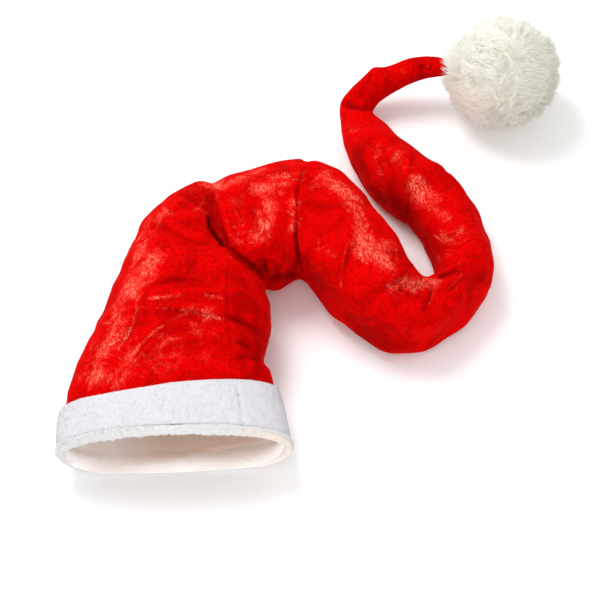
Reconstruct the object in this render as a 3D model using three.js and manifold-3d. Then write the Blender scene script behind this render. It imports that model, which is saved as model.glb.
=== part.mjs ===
// Long padded festive hat, lying in bends: a velvet cone with a plush band at the head opening
// and a fur pompom at the tip. Millimetres, +Z up. The hat rests on the plane z = 0 with its
// opening towards -Y, and the origin lies on that plane under the middle of the band.
import * as THREE from 'three';
import Module from 'manifold-3d';

const wasm = await Module();
wasm.setup();

// Driving dimensions
const BAND_THICK = 5;
const VELVET_WALL = 2.2;
const FACING_THICK = 1.6;
const LINING_THICK = 1.4;
const HEM_RADIUS = 5.6;
// how far the hem's roll would stand out past the band if the surface did not press it
const HEM_PROUD = 0.6;
const GAP = 0.3;
// how much thicker the wall has grown where the padding closes the head hollow
const HOLLOW_TAPER = 12;
const HOLLOW_DOME = 22;
// how far the cutter for the hollow reaches out of the mouth
const MOUTH_REACH = 15;
// how deep the underside is pressed flat where the padding rests on the surface
const SETTLE = 4;
// roundness of the lower half of a section: 2 is an ellipse, more is fuller at the floor
const LOWER_FULLNESS = 2.5;
const POMPOM = { x: 448, y: 426, z: 67, radius: 72, lump: 2.2, rings: 18, sides: 26 };

// Sides of a section, steps of a rounded end, and facets round the hem's roll
const HEAD_SIDES = 30;
const TAIL_SIDES = 24;
const TIP_SIDES = 14;
const DOME_STEPS = 4;
const HEM_FACETS = 8;
const EDGE_FACETS = 4;

// Sections along the hat. x and y place the middle of a section, turn is the direction of its
// width in degrees from +X, wide and high are its size, lift is the height of its underside,
// and lean is how far its top lies ahead of its middle along the hat.
const CROWN = [
  { name: 'rim', x: -1, y: -36, turn: -5, wide: 257, high: 98, lift: 0, lean: 2 },
  { name: 'band top', x: 0, y: 27, turn: -1, wide: 242, high: 106, lift: 0, lean: -12 },
  { name: 'above band', x: 6, y: 74, turn: -5, wide: 209, high: 112, lift: 0, lean: -5 },
  { name: 'head', x: 24, y: 117, turn: -8, wide: 199, high: 120, lift: 0, lean: 0 },
  { name: 'head top', x: 32, y: 150, turn: -11, wide: 185, high: 122, lift: 0, lean: 0 },
  { name: 'padding', x: 40, y: 181, turn: -19, wide: 168, high: 118, lift: 0, lean: 0 },
  { name: 'shoulder', x: 51, y: 212, turn: -30, wide: 159, high: 114, lift: 0, lean: 0 },
  { name: 'first fold', x: 66, y: 236, turn: -46, wide: 148, high: 108, lift: 0, lean: 0 },
  { name: 'inside first fold', x: 84, y: 248, turn: -60, wide: 144, high: 102, lift: 0, lean: 0 },
];
const HUMP = [
  { name: 'after first fold', x: 102, y: 238, turn: -76, wide: 146, high: 112, lift: 0, lean: 0 },
  { name: 'hump', x: 132, y: 232, turn: -88, wide: 160, high: 125, lift: 0, lean: 0 },
  { name: 'second fold', x: 158, y: 242, turn: -93, wide: 154, high: 122, lift: 0, lean: 0 },
  { name: 'inside second fold', x: 172, y: 248, turn: -98, wide: 152, high: 114, lift: 0, lean: 0 },
];
const TAIL = [
  { name: 'after second fold', x: 181, y: 241, turn: -103, wide: 150, high: 118, lift: 0, lean: 0 },
  { name: 'upper tail', x: 201, y: 215, turn: -113, wide: 147, high: 124, lift: 0, lean: 0 },
  { name: 'middle tail', x: 218, y: 185, turn: -118, wide: 142, high: 122, lift: 0, lean: 0 },
  { name: 'lower tail', x: 239, y: 151, turn: -121, wide: 128, high: 113, lift: 0, lean: 0 },
  { name: 'into the bend', x: 256, y: 126, turn: -118, wide: 116, high: 105, lift: 0, lean: 0 },
  { name: 'bend start', x: 275, y: 108, turn: -110, wide: 98, high: 95, lift: 0, lean: 0 },
  { name: 'bend bottom', x: 298, y: 103, turn: -98, wide: 88, high: 88, lift: 0, lean: 0 },
  { name: 'bend corner', x: 322, y: 116, turn: -77, wide: 74, high: 84, lift: 0, lean: 0 },
  { name: 'bend side', x: 342, y: 139, turn: -48, wide: 76, high: 82, lift: 0, lean: 0 },
  { name: 'bend end', x: 352, y: 169, turn: -18, wide: 76, high: 81, lift: 0, lean: 0 },
  { name: 'limb', x: 352, y: 198, turn: 0, wide: 81, high: 80, lift: 0, lean: 0 },
  { name: 'upper limb', x: 345, y: 228, turn: 10, wide: 83, high: 80, lift: 0, lean: 0 },
  { name: 'third fold', x: 335, y: 256, turn: 24, wide: 84, high: 77, lift: 0, lean: 0 },
];
const WRIST = [
  { name: 'after third fold', x: 316, y: 279, turn: 38, wide: 91, high: 82, lift: 0, lean: 0 },
  { name: 'lower wrist', x: 298, y: 308, turn: 33, wide: 84, high: 79, lift: 0, lean: 0 },
  { name: 'upper wrist', x: 281, y: 342, turn: 26, wide: 76, high: 73, lift: 0, lean: 0 },
  { name: 'narrow wrist', x: 268, y: 385, turn: 20, wide: 58, high: 58, lift: 1, lean: 0 },
  { name: 'elbow', x: 264, y: 413, turn: 9, wide: 43, high: 44, lift: 5, lean: 0 },
];
const TIP = [
  { name: 'after elbow', x: 264, y: 423, turn: -20, wide: 43, high: 43, lift: 8, lean: 0 },
  { name: 'tip start', x: 277, y: 438, turn: -42, wide: 39, high: 39, lift: 15, lean: 0 },
  { name: 'tip rise', x: 297, y: 449, turn: -68, wide: 40, high: 39, lift: 26, lean: 0 },
  { name: 'tip middle', x: 328, y: 454, turn: -84, wide: 34, high: 34, lift: 40, lean: 0 },
  { name: 'tip', x: 357, y: 454, turn: -93, wide: 28, high: 28, lift: 50, lean: 0 },
  { name: 'tip end', x: 378, y: 449, turn: -102, wide: 26, high: 26, lift: 54, lean: 0 },
];
const FIRST_STRETCH = Math.hypot(CROWN[1].x - CROWN[0].x, CROWN[1].y - CROWN[0].y);

// Dents across the cloth. at and reach are places in the table of the stretch, counted in rows,
// side is the angle round the section (0 right, 90 top, 180 left) and spread its half width.
const CROWN_DENTS = [
  { name: 'cinch on the right', at: 1.75, reach: 0.28, side: 10, spread: 60, deep: 6 },
  { name: 'low furrow', at: 2.55, reach: 0.2, side: 70, spread: 55, deep: 4 },
  { name: 'middle furrow', at: 3.35, reach: 0.22, side: 95, spread: 60, deep: 5 },
  { name: 'inner furrow', at: 4.5, reach: 0.35, side: 20, spread: 45, deep: 5 },
  { name: 'shoulder furrow', at: 5.6, reach: 0.3, side: 75, spread: 50, deep: 4 },
];
const TAIL_DENTS = [
  { name: 'long furrow', at: 2.6, reach: 0.5, side: 75, spread: 25, deep: 3 },
  { name: 'first bunch', at: 4.6, reach: 0.2, side: 165, spread: 45, deep: 5 },
  { name: 'second bunch', at: 5.6, reach: 0.2, side: 165, spread: 45, deep: 5 },
  { name: 'pit of the bend', at: 7.4, reach: 0.35, side: 150, spread: 40, deep: 8 },
  { name: 'last bunch', at: 8.7, reach: 0.25, side: 160, spread: 40, deep: 4 },
];

const radians = THREE.MathUtils.degToRad;
const ease = THREE.MathUtils.smoothstep;

// A smooth value between the rows of a table, at a place counted in rows.
function between(rows, column, place) {
  const last = rows.length - 1;
  const base = Math.min(Math.max(Math.floor(place), 0), last - 1);
  const part = place - base;
  const a = rows[base][column];
  const b = rows[base + 1][column];
  const before = base > 0 ? rows[base - 1][column] : 2 * a - b;
  const after = base + 2 <= last ? rows[base + 2][column] : 2 * b - a;
  const slopeIn = (b - before) / 2;
  const slopeOut = (after - a) / 2;
  const square = part * part;
  const cube = square * part;
  return a * (2 * cube - 3 * square + 1) + slopeIn * (cube - 2 * square + part)
    + b * (3 * square - 2 * cube) + slopeOut * (cube - square);
}

function sectionAt(rows, place) {
  const section = {};
  for (const column of ['x', 'y', 'turn', 'wide', 'high', 'lift', 'lean']) {
    section[column] = between(rows, column, place);
  }
  return section;
}

function dentDepth(dents, place, angle) {
  let depth = 0;
  for (const dent of dents) {
    const along = (place - dent.at) / dent.reach;
    const swing = THREE.MathUtils.euclideanModulo(angle - radians(dent.side) + Math.PI, 2 * Math.PI);
    const round = (swing - Math.PI) / radians(dent.spread);
    depth += dent.deep * Math.exp(-along * along - round * round);
  }
  return depth;
}

// One closed ring of points round a section: inset moves it inwards, ahead moves it along the
// hat, scale shrinks it towards its middle.
function ringAt(stretch, place, { inset = 0, ahead = 0, scale = 1 } = {}) {
  const section = sectionAt(stretch.rows, place);
  const turn = radians(section.turn);
  const across = new THREE.Vector3(Math.cos(turn), Math.sin(turn), 0);
  const along = new THREE.Vector3(-Math.sin(turn), Math.cos(turn), 0);
  const halfHigh = section.high / 2;
  const middle = new THREE.Vector3(section.x, section.y, section.lift + halfHigh - SETTLE);
  const ring = [];
  for (let side = 0; side < stretch.sides; side += 1) {
    const angle = (side / stretch.sides) * 2 * Math.PI;
    const power = 2 / (Math.sin(angle) < 0 ? LOWER_FULLNESS : 2);
    const level = Math.sign(Math.cos(angle)) * Math.abs(Math.cos(angle)) ** power;
    const upright = Math.sign(Math.sin(angle)) * Math.abs(Math.sin(angle)) ** power;
    const pull = inset + dentDepth(stretch.dents, place, angle);
    const out = (section.wide / 2 - pull) * level * scale;
    const up = (halfHigh - pull) * upright * scale;
    const point = middle.clone().addScaledVector(across, out);
    point.addScaledVector(along, ahead + (section.lean * up) / halfHigh);
    point.z = Math.max(point.z + up, inset);
    ring.push(point);
  }
  return ring;
}

function middleOf(ring) {
  const middle = new THREE.Vector3();
  for (const point of ring) middle.addScaledVector(point, 1 / ring.length);
  return [middle];
}

// Rings that close the end of a stretch like a cushion's end. way is 1 ahead or -1 back.
function domeRings(stretch, place, reach, way, inset = 0) {
  const rings = [];
  for (let step = 1; step < DOME_STEPS; step += 1) {
    const angle = (step / DOME_STEPS) * (Math.PI / 2);
    const ahead = way * reach * Math.sin(angle);
    rings.push(ringAt(stretch, place, { inset, ahead, scale: Math.cos(angle) }));
  }
  const end = ringAt(stretch, place, { inset, ahead: way * reach, scale: 0.05 });
  rings.push(middleOf(end));
  return way > 0 ? rings : rings.reverse();
}

// Evenly spread places from one place of a stretch to another.
function spread(from, to, steps) {
  return Array.from({ length: steps + 1 }, (_, step) => from + ((to - from) * step) / steps);
}

// Rings at the given places of a stretch, with the inset that the layer has there.
function layerRings(stretch, places, insetAt) {
  return places.map((place) => ringAt(stretch, place, { inset: insetAt(place) }));
}

// Skins a row of rings into a closed surface. A ring of one point is a pole, and closed joins
// the last ring to the first.
function skin(rings, closed = false) {
  const starts = [];
  const positions = [];
  for (const ring of rings) {
    starts.push(positions.length / 3);
    for (const point of ring) positions.push(point.x, point.y, point.z);
  }
  const indices = [];
  const pairs = closed ? rings.length : rings.length - 1;
  for (let first = 0; first < pairs; first += 1) {
    const second = (first + 1) % rings.length;
    const sides = Math.max(rings[first].length, rings[second].length);
    for (let side = 0; side < sides; side += 1) {
      const next = (side + 1) % sides;
      const pole1 = rings[first].length === 1;
      const pole2 = rings[second].length === 1;
      const a = starts[first] + (pole1 ? 0 : side);
      const b = starts[second] + (pole2 ? 0 : side);
      const c = starts[second] + (pole2 ? 0 : next);
      const d = starts[first] + (pole1 ? 0 : next);
      if (!pole2) indices.push(a, b, c);
      if (!pole1) indices.push(a, c, d);
    }
  }
  const geometry = new THREE.BufferGeometry();
  geometry.setAttribute('position', new THREE.Float32BufferAttribute(positions, 3));
  geometry.setIndex(indices);
  return geometry;
}

function solidFrom(geometry) {
  const vertProperties = new Float32Array(geometry.attributes.position.array);
  const triVerts = new Uint32Array(geometry.index.array);
  return new wasm.Manifold(new wasm.Mesh({ numProp: 3, vertProperties, triVerts }));
}

function geometryFrom(solid) {
  const mesh = solid.getMesh();
  const geometry = new THREE.BufferGeometry();
  geometry.setAttribute('position', new THREE.BufferAttribute(new Float32Array(mesh.vertProperties), 3));
  geometry.setIndex(new THREE.BufferAttribute(new Uint32Array(mesh.triVerts), 1));
  return geometry;
}

// The stretches of the cone. startDome and endDome are how far each rounded end reaches into
// the next stretch, which makes the folds between them.
const crown = { rows: CROWN, dents: CROWN_DENTS, sides: HEAD_SIDES, endDome: 22 };
const hump = { rows: HUMP, dents: [], sides: TAIL_SIDES, startDome: 34, endDome: 14 };
const tail = { rows: TAIL, dents: TAIL_DENTS, sides: TAIL_SIDES, startDome: 30, endDome: 22 };
const wrist = { rows: WRIST, dents: [], sides: TAIL_SIDES, startDome: 30, endDome: 14 };
const tip = { rows: TIP, dents: [], sides: TIP_SIDES, startDome: 13, endDome: 5 };
const STEPS_PER_ROW = 2;

// Where the layers at the head opening start and end, as places along the crown
const RIM_PLACE = (HEM_RADIUS + GAP) / FIRST_STRETCH;
const BAND_END = 1;
const FREE_START = BAND_END + 0.08;
const FREE_FULL = BAND_END + 0.5;
const FACING_END = 0.68;
const LINING_START = FACING_END + (2 * GAP) / FIRST_STRETCH;
const TAPER_START = 2;
const HOLLOW_END = 4;
// all the layers share the places of their rings, so that their facets stay nested
const FACING_PLACES = spread(RIM_PLACE, FACING_END, 2);
const BAND_PLACES = [...FACING_PLACES, LINING_START, BAND_END];
const HOLLOW_PLACES = [...BAND_PLACES, FREE_START, ...spread(BAND_END + 0.3, HOLLOW_END, 5)];
const LINING_PLACES = HOLLOW_PLACES.filter((place) => place >= LINING_START);

// The layers from the outside in, as insets from the band's outer face
const velvetOuter = (place) => (BAND_THICK + GAP) * (1 - ease(place, FREE_START, FREE_FULL));
const velvetWall = (place) => VELVET_WALL + HOLLOW_TAPER * ease(place, TAPER_START, HOLLOW_END);
const velvetInner = (place) => velvetOuter(place) + velvetWall(place);
const facingOuter = (place) => velvetInner(place) + GAP;
const facingInner = (place) => facingOuter(place) + FACING_THICK;
const liningInner = (place) => facingOuter(place) + LINING_THICK;

// A cushion-ended solid along a whole stretch, grown all round by the given amount.
function paddedStretch(stretch, grow = 0) {
  const last = stretch.rows.length - 1;
  return solidFrom(skin([
    ...domeRings(stretch, 0, stretch.startDome + grow, -1, -grow),
    ...layerRings(stretch, spread(0, last, last * STEPS_PER_ROW), () => -grow),
    ...domeRings(stretch, last, stretch.endDome + grow, 1, -grow),
  ]));
}

// The head part of the cone, filled, with a flat end at the rim.
function filledCrown() {
  const last = CROWN.length - 1;
  const places = [...HOLLOW_PLACES, ...spread(HOLLOW_END + 0.5, last, 7)];
  const walls = layerRings(crown, places, velvetOuter);
  return solidFrom(skin([middleOf(walls[0]), ...walls, ...domeRings(crown, last, crown.endDome, 1)]));
}

// The head hollow, reaching out past the rim so that it opens the cone.
function headHollow() {
  const mouth = ringAt(crown, RIM_PLACE, { inset: velvetInner(RIM_PLACE), ahead: -MOUTH_REACH });
  const walls = layerRings(crown, HOLLOW_PLACES, velvetInner);
  const end = domeRings(crown, HOLLOW_END, HOLLOW_DOME, 1, velvetInner(HOLLOW_END));
  return solidFrom(skin([middleOf(mouth), mouth, ...walls, ...end]));
}

function velvetCone() {
  let cone = filledCrown();
  for (const stretch of [hump, tail, wrist, tip]) cone = cone.add(paddedStretch(stretch));
  return geometryFrom(cone.subtract(headHollow()));
}

// The plush strip round the outside, whose upper edge is turned over in a half round.
function plushBand() {
  const outer = layerRings(crown, BAND_PLACES, () => 0);
  const edge = [];
  for (let step = 1; step < EDGE_FACETS; step += 1) {
    const angle = (step / EDGE_FACETS) * Math.PI;
    const inset = (BAND_THICK / 2) * (1 - Math.cos(angle));
    edge.push(ringAt(crown, BAND_END, { inset, ahead: (BAND_THICK / 2) * Math.sin(angle) }));
  }
  const inner = layerRings(crown, BAND_PLACES.toReversed(), () => BAND_THICK);
  return skin([...outer, ...edge, ...inner], true);
}

// The fluffy roll at the rim, which covers the ends of all the layers.
function rolledHem() {
  const rings = [];
  for (let step = 0; step < HEM_FACETS; step += 1) {
    const angle = (step / HEM_FACETS) * 2 * Math.PI;
    const inset = HEM_RADIUS * (1 - Math.sin(angle)) - HEM_PROUD;
    const place = (-HEM_RADIUS * Math.cos(angle)) / FIRST_STRETCH;
    rings.push(ringAt(crown, place, { inset: Math.max(inset, 0) }));
  }
  return skin(rings, true);
}

// The turned-in strip inside the rim.
function bandFacing() {
  const outer = layerRings(crown, FACING_PLACES, facingOuter);
  const inner = layerRings(crown, FACING_PLACES.toReversed(), facingInner);
  return skin([...outer, ...inner], true);
}

// The thin cap that lines the head hollow beyond the facing.
function headLining() {
  const outer = layerRings(crown, LINING_PLACES, facingOuter);
  const inner = layerRings(crown, LINING_PLACES.toReversed(), liningInner);
  const shrink = GAP + LINING_THICK;
  const outerEnd = domeRings(crown, HOLLOW_END, HOLLOW_DOME - GAP, 1, facingOuter(HOLLOW_END));
  const innerEnd = domeRings(crown, HOLLOW_END, HOLLOW_DOME - shrink, 1, liningInner(HOLLOW_END));
  return skin([...innerEnd.reverse(), ...inner, ...outer, ...outerEnd]);
}

// The fur ball: a lumpy sphere that sits down a little on the surface, with a socket for the tip.
function pompomBall() {
  const rings = [];
  for (let ring = 0; ring <= POMPOM.rings; ring += 1) {
    const polar = (ring / POMPOM.rings) * Math.PI;
    const pole = ring === 0 || ring === POMPOM.rings;
    const points = [];
    for (let side = 0; side < (pole ? 1 : POMPOM.sides); side += 1) {
      const angle = (side / POMPOM.sides) * 2 * Math.PI;
      const lump = Math.sin(3 * angle + 2 * polar) * Math.sin(4 * polar + 1) * Math.sin(polar);
      const radius = POMPOM.radius + POMPOM.lump * lump;
      const flat = radius * Math.sin(polar);
      const z = Math.max(POMPOM.z - radius * Math.cos(polar), 0);
      points.push(new THREE.Vector3(POMPOM.x + flat * Math.cos(angle), POMPOM.y + flat * Math.sin(angle), z));
    }
    rings.push(points);
  }
  return geometryFrom(solidFrom(skin(rings.reverse())).subtract(paddedStretch(tip, GAP)));
}

const VELVET_RED = { color: '#d40806', roughness: 0.75, metalness: 0 };
const PLUSH_WHITE = { color: '#e9e7ec', roughness: 0.95, metalness: 0 };
const HEM_CREAM = { color: '#efebe4', roughness: 0.95, metalness: 0 };
const FACING_IVORY = { color: '#e2d8d2', roughness: 0.9, metalness: 0 };
const LINING_CREAM = { color: '#cdbbb0', roughness: 0.9, metalness: 0 };
const FUR_WHITE = { color: '#efece2', roughness: 1, metalness: 0 };

const hat = new THREE.Group();

function addPiece(name, geometry, finish) {
  geometry.computeVertexNormals();
  const mesh = new THREE.Mesh(geometry, new THREE.MeshStandardMaterial(finish));
  mesh.name = name;
  hat.add(mesh);
}

addPiece('velvet_cone', velvetCone(), VELVET_RED);
addPiece('plush_band', plushBand(), PLUSH_WHITE);
addPiece('rolled_hem', rolledHem(), HEM_CREAM);
addPiece('band_facing', bandFacing(), FACING_IVORY);
addPiece('head_lining', headLining(), LINING_CREAM);
addPiece('pompom', pompomBall(), FUR_WHITE);

export default hat;
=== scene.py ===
"""Looks of a long padded red velvet hat that lies in bends, with a plush band and a fur pompom.

Everything is in metres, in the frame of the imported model: +Z up, the opening towards -Y.
"""
import math

import bpy
import numpy as np
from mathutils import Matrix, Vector
from mathutils.bvhtree import BVHTree
from mathutils.kdtree import KDTree


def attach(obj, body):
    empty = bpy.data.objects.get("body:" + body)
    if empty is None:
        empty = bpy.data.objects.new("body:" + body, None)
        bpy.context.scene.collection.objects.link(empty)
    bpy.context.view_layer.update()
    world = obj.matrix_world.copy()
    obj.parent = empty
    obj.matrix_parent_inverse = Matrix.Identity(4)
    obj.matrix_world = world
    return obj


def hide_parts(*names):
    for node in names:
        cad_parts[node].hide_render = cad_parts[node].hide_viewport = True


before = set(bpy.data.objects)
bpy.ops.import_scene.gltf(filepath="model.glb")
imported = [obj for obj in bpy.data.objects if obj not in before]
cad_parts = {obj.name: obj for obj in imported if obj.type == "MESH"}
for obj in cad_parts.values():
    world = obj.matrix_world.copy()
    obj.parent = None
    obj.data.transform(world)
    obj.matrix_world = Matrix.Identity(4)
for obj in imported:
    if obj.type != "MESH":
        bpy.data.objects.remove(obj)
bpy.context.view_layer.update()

MM = 0.001
SEED = 24
POM_MIDDLE = np.array([448.0, 426.0, 67.0]) * MM

# The photograph's frame and the camera that matches it
PHOTO_PIXELS = 600
LENS_MM = 85.0
SENSOR_MM = 36.0
CAMERA_AZIMUTH = math.radians(-7.0)
CAMERA_ELEVATION = math.radians(58.0)
CAMERA_DISTANCE = 1.68
CAMERA_AIM = Vector((0.1603, 0.1648, 0.0))
PIXEL = CAMERA_DISTANCE * SENSOR_MM / LENS_MM / PHOTO_PIXELS
FLOOR_PIXEL = PIXEL / math.sin(CAMERA_ELEVATION)
FOCAL_PIXELS = PHOTO_PIXELS * LENS_MM / SENSOR_MM
PHOTO_MIDDLE = PHOTO_PIXELS / 2


def view_axes():
    """The camera's forward, right and up directions."""
    level = math.cos(CAMERA_ELEVATION)
    forward = Vector((-math.sin(CAMERA_AZIMUTH) * level, math.cos(CAMERA_AZIMUTH) * level,
                      -math.sin(CAMERA_ELEVATION)))
    right = Vector((math.cos(CAMERA_AZIMUTH), math.sin(CAMERA_AZIMUTH), 0.0))
    return forward, right, right.cross(forward)


def place_camera():
    forward, _, _ = view_axes()
    camera = bpy.data.objects.new("photo_camera", bpy.data.cameras.new("photo_camera"))
    bpy.context.scene.collection.objects.link(camera)
    camera.data.lens = LENS_MM
    camera.data.sensor_width = SENSOR_MM
    camera.location = CAMERA_AIM - forward * CAMERA_DISTANCE
    camera.rotation_euler = forward.to_track_quat("-Z", "Y").to_euler()
    bpy.context.scene.camera = camera


def pixel_ray(u, v):
    """The point and direction of sight of a pixel of the photograph."""
    forward, right, up = view_axes()
    direction = forward * FOCAL_PIXELS + right * (u - PHOTO_MIDDLE) + up * (PHOTO_MIDDLE - v)
    return CAMERA_AIM - forward * CAMERA_DISTANCE, direction.normalized()


def seen_at(points):
    """The photograph pixels, across and down, at which points are seen."""
    forward, right, up = (np.array(axis) for axis in view_axes())
    sight = points - (np.array(CAMERA_AIM) - forward * CAMERA_DISTANCE)
    depth = sight @ forward
    across = PHOTO_MIDDLE + FOCAL_PIXELS * (sight @ right) / depth
    return across, PHOTO_MIDDLE - FOCAL_PIXELS * (sight @ up) / depth


# Modelling helpers
MERGE_GAP = 0.02 * MM
QUAD_BEND = math.radians(50)
QUAD_SKEW = math.radians(60)
WAVES = 6
WAVES_TOTAL = 3.2
WAVE_LENGTHS = (0.6, 1.5)
LINE_LEAST = 8
LINE_ROUNDING = 5
LEAST_WEIGHT = 0.01


def select_only(piece):
    bpy.ops.object.select_all(action="DESELECT")
    piece.select_set(True)
    bpy.context.view_layer.objects.active = piece


def edit_all(piece):
    """Goes into edit mode with all of a piece selected."""
    select_only(piece)
    bpy.ops.object.mode_set(mode="EDIT")
    bpy.ops.mesh.select_all(action="SELECT")


def leave_edit():
    bpy.ops.object.mode_set(mode="OBJECT")


def copy_of_node(node, name):
    """A new piece with a CAD node's surface, its loose triangles merged."""
    piece = bpy.data.objects.new(name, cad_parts[node].data.copy())
    bpy.context.scene.collection.objects.link(piece)
    piece.data.materials.clear()
    piece.data.name = name
    edit_all(piece)
    bpy.ops.mesh.remove_doubles(threshold=MERGE_GAP)
    bpy.ops.mesh.tris_convert_to_quads(face_threshold=QUAD_BEND, shape_threshold=QUAD_SKEW)
    leave_edit()
    return piece


def add_and_apply(piece, kind, **settings):
    """Adds a modifier with the given settings and applies it."""
    select_only(piece)
    modifier = piece.modifiers.new(kind.lower(), kind)
    for name, value in settings.items():
        setattr(modifier, name, value)
    bpy.ops.object.modifier_apply(modifier=modifier.name)


def round_out(piece, levels):
    add_and_apply(piece, "SUBSURF", levels=levels, render_levels=levels)


def vertex_values(piece, name):
    flat = np.empty(len(piece.data.vertices) * 3)
    piece.data.vertices.foreach_get(name, flat)
    return flat.reshape(-1, 3)


def points_of(piece):
    return vertex_values(piece, "co")


def set_points(piece, points):
    piece.data.vertices.foreach_set("co", np.ascontiguousarray(points, float).ravel())
    piece.data.update()


def set_on_floor(piece, points, floor=0.0):
    """Sets a piece's points, none of them lower than the floor."""
    points[:, 2] = np.maximum(points[:, 2], floor)
    set_points(piece, points)


def normals_of(piece):
    return vertex_values(piece, "normal")


def store_values(piece, name, values):
    """Keeps one number a vertex on the mesh, for its material."""
    layer = piece.data.attributes.new(name, "FLOAT", "POINT")
    layer.data.foreach_set("value", np.ascontiguousarray(values, float))


def surface_tree(piece):
    points = [vertex.co.copy() for vertex in piece.data.vertices]
    return BVHTree.FromPolygons(points, [tuple(face.vertices) for face in piece.data.polygons])


def smooth_shaded(piece):
    piece.data.polygons.foreach_set("use_smooth", np.ones(len(piece.data.polygons), bool))


def finish_piece(piece, material, node=None):
    """Gives a piece its finish, says what it rides on and hides the node it stands for."""
    piece.data.materials.clear()
    piece.data.materials.append(material)
    smooth_shaded(piece)
    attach(piece, "root")
    if node:
        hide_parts(node)


def unit(vectors):
    return vectors / np.maximum(np.linalg.norm(vectors, axis=1, keepdims=True), 1e-9)


def wavy(points, scale, seed):
    """A smooth random value from -1 to 1 at each point, with features about 1 / scale long."""
    draw = np.random.default_rng(seed)
    total = np.zeros(len(points))
    for _ in range(WAVES):
        direction = draw.normal(size=3)
        direction *= scale * draw.uniform(*WAVE_LENGTHS) * 2 * math.pi / np.linalg.norm(direction)
        total += np.sin(points @ direction + draw.uniform(0, 2 * math.pi))
    return total / WAVES_TOTAL


def layered_waves(points, layers, seed):
    """Waves of several sizes together; each layer is a height and how many waves a metre has."""
    return sum(height * wavy(points, scale, seed + index) for index, (height, scale) in enumerate(layers))


def wavy_ways(points, scale, seed):
    """Uneven directions that draw neighbouring strands together."""
    return np.stack([wavy(points, scale, seed + side) for side in range(3)], axis=1)


# Materials
def add_node(tree, kind, wires=None, **settings):
    """A shader node with its settings, and its inputs wired or set."""
    node = tree.nodes.new(kind)
    for name, value in settings.items():
        setattr(node, name, value)
    for socket, value in (wires or {}).items():
        if isinstance(value, bpy.types.NodeSocket):
            tree.links.new(value, node.inputs[socket])
        else:
            node.inputs[socket].default_value = value
    return node


def combine(tree, operation, first, second):
    wires = {0: first, 1: second}
    return add_node(tree, "ShaderNodeMath", wires, operation=operation).outputs[0]


def times(tree, first, second):
    return combine(tree, "MULTIPLY", first, second)


def plus(tree, first, second):
    return combine(tree, "ADD", first, second)


def off_half(tree, value):
    """How far a value is from one half."""
    wires = {0: combine(tree, "SUBTRACT", value, 0.5)}
    return add_node(tree, "ShaderNodeMath", wires, operation="ABSOLUTE").outputs[0]


def change_place(tree, operation, place, change):
    """A place in a pattern, with a change added or multiplied."""
    wires = {0: place, 1: change}
    return add_node(tree, "ShaderNodeVectorMath", wires, operation=operation).outputs[0]


def ramp(tree, value, low, high, start=0.0, end=1.0):
    """A value eased from start to end as it goes from low to high."""
    wires = {"Value": value, "From Min": low, "From Max": high, "To Min": start, "To Max": end}
    return add_node(tree, "ShaderNodeMapRange", wires, interpolation_type="SMOOTHSTEP").outputs["Result"]


def noise(tree, place, scale, detail=2.0, roughness=0.5, distortion=0.0):
    wires = {"Vector": place, "Scale": scale, "Detail": detail}
    wires.update({"Roughness": roughness, "Distortion": distortion})
    return add_node(tree, "ShaderNodeTexNoise", wires).outputs["Fac"]


def mix_colours(tree, share, first, second):
    wires = {0: share, 6: first, 7: second}
    return add_node(tree, "ShaderNodeMix", wires, data_type="RGBA").outputs[2]


def stored(tree, name):
    return add_node(tree, "ShaderNodeAttribute", attribute_name=name).outputs["Fac"]


def colour(red, green, blue):
    return (red, green, blue, 1.0)


VELVET_DARK = colour(0.33, 0.0001, 0.0001)
VELVET_BRIGHT = colour(0.63, 0.0004, 0.0003)
# Haze and flecks of brushed-up pile, also painted highlight on lit sides and ridges
VELVET_HAZE = colour(0.72, 0.03, 0.02)
# Painted shade at the bottom of creases and deep folds
VELVET_CREASE_SHADE = colour(0.045, 0.0, 0.0)
VELVET_SHEEN = colour(1.0, 0.04, 0.025)
# Flecks of brushed-up pile, also painted highlight
FLECK_ORANGE = colour(0.82, 0.12, 0.08)
FLECK_PALE = colour(0.88, 0.19, 0.125)
PLUSH_LIGHT = colour(0.665, 0.657, 0.685)
PLUSH_DIM = colour(0.615, 0.607, 0.64)
HEM_ROOT = colour(0.54, 0.54, 0.56)
HEM_TIP = colour(0.65, 0.66, 0.71)
FUR_ROOT = colour(0.57, 0.55, 0.475)
FUR_TIP = colour(0.66, 0.66, 0.605)
# Worn pink of the hem, and painted red reflection on the pompom
FUR_PINK_WEAR_AND_REFLECTION = colour(0.7, 0.575, 0.5)
# Dim hairs, and painted shade on the pompom
FUR_DIM_AND_SHADE = colour(0.52, 0.48, 0.37)
FACING_LIGHT = colour(0.93, 0.885, 0.855)
FACING_DIM = colour(0.83, 0.76, 0.715)
FACING_HOLE = colour(0.6, 0.48, 0.42)
# The lining's tone, dimmed as painted shade inside the opening
FACING_LINING_AND_SHADE = colour(0.72, 0.55, 0.455)
# The lining is cream knit; its pink, dim tone is painted shade of the hat's inside and painted red light from
# the velvet
LINING_LIGHT = colour(0.83, 0.65, 0.55)
LINING_DIM = colour(0.75, 0.57, 0.48)
LINING_HOLE = colour(0.46, 0.33, 0.28)
FLOOR_DIM = colour(0.92, 0.92, 0.92)
FLOOR_LIGHT = colour(0.93, 0.93, 0.93)
SKY_WHITE = colour(1.0, 1.0, 1.0)

# Pattern sizes, in features for each metre, and how the pile's pattern swirls and stretches
VELVET_PATCHES = 26.0
VELVET_FLECKS = 640.0
PLUSH_PATCHES = 60.0
PLUSH_FLECKS = 900.0
FACING_HOLES = 440.0
LINING_HOLES = 430.0
SWIRLS = 24.0
SWIRL_REACH = (0.03, 0.03, 0.03)
PILE_STRETCH = (1.0, 0.4, 0.75)


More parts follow.
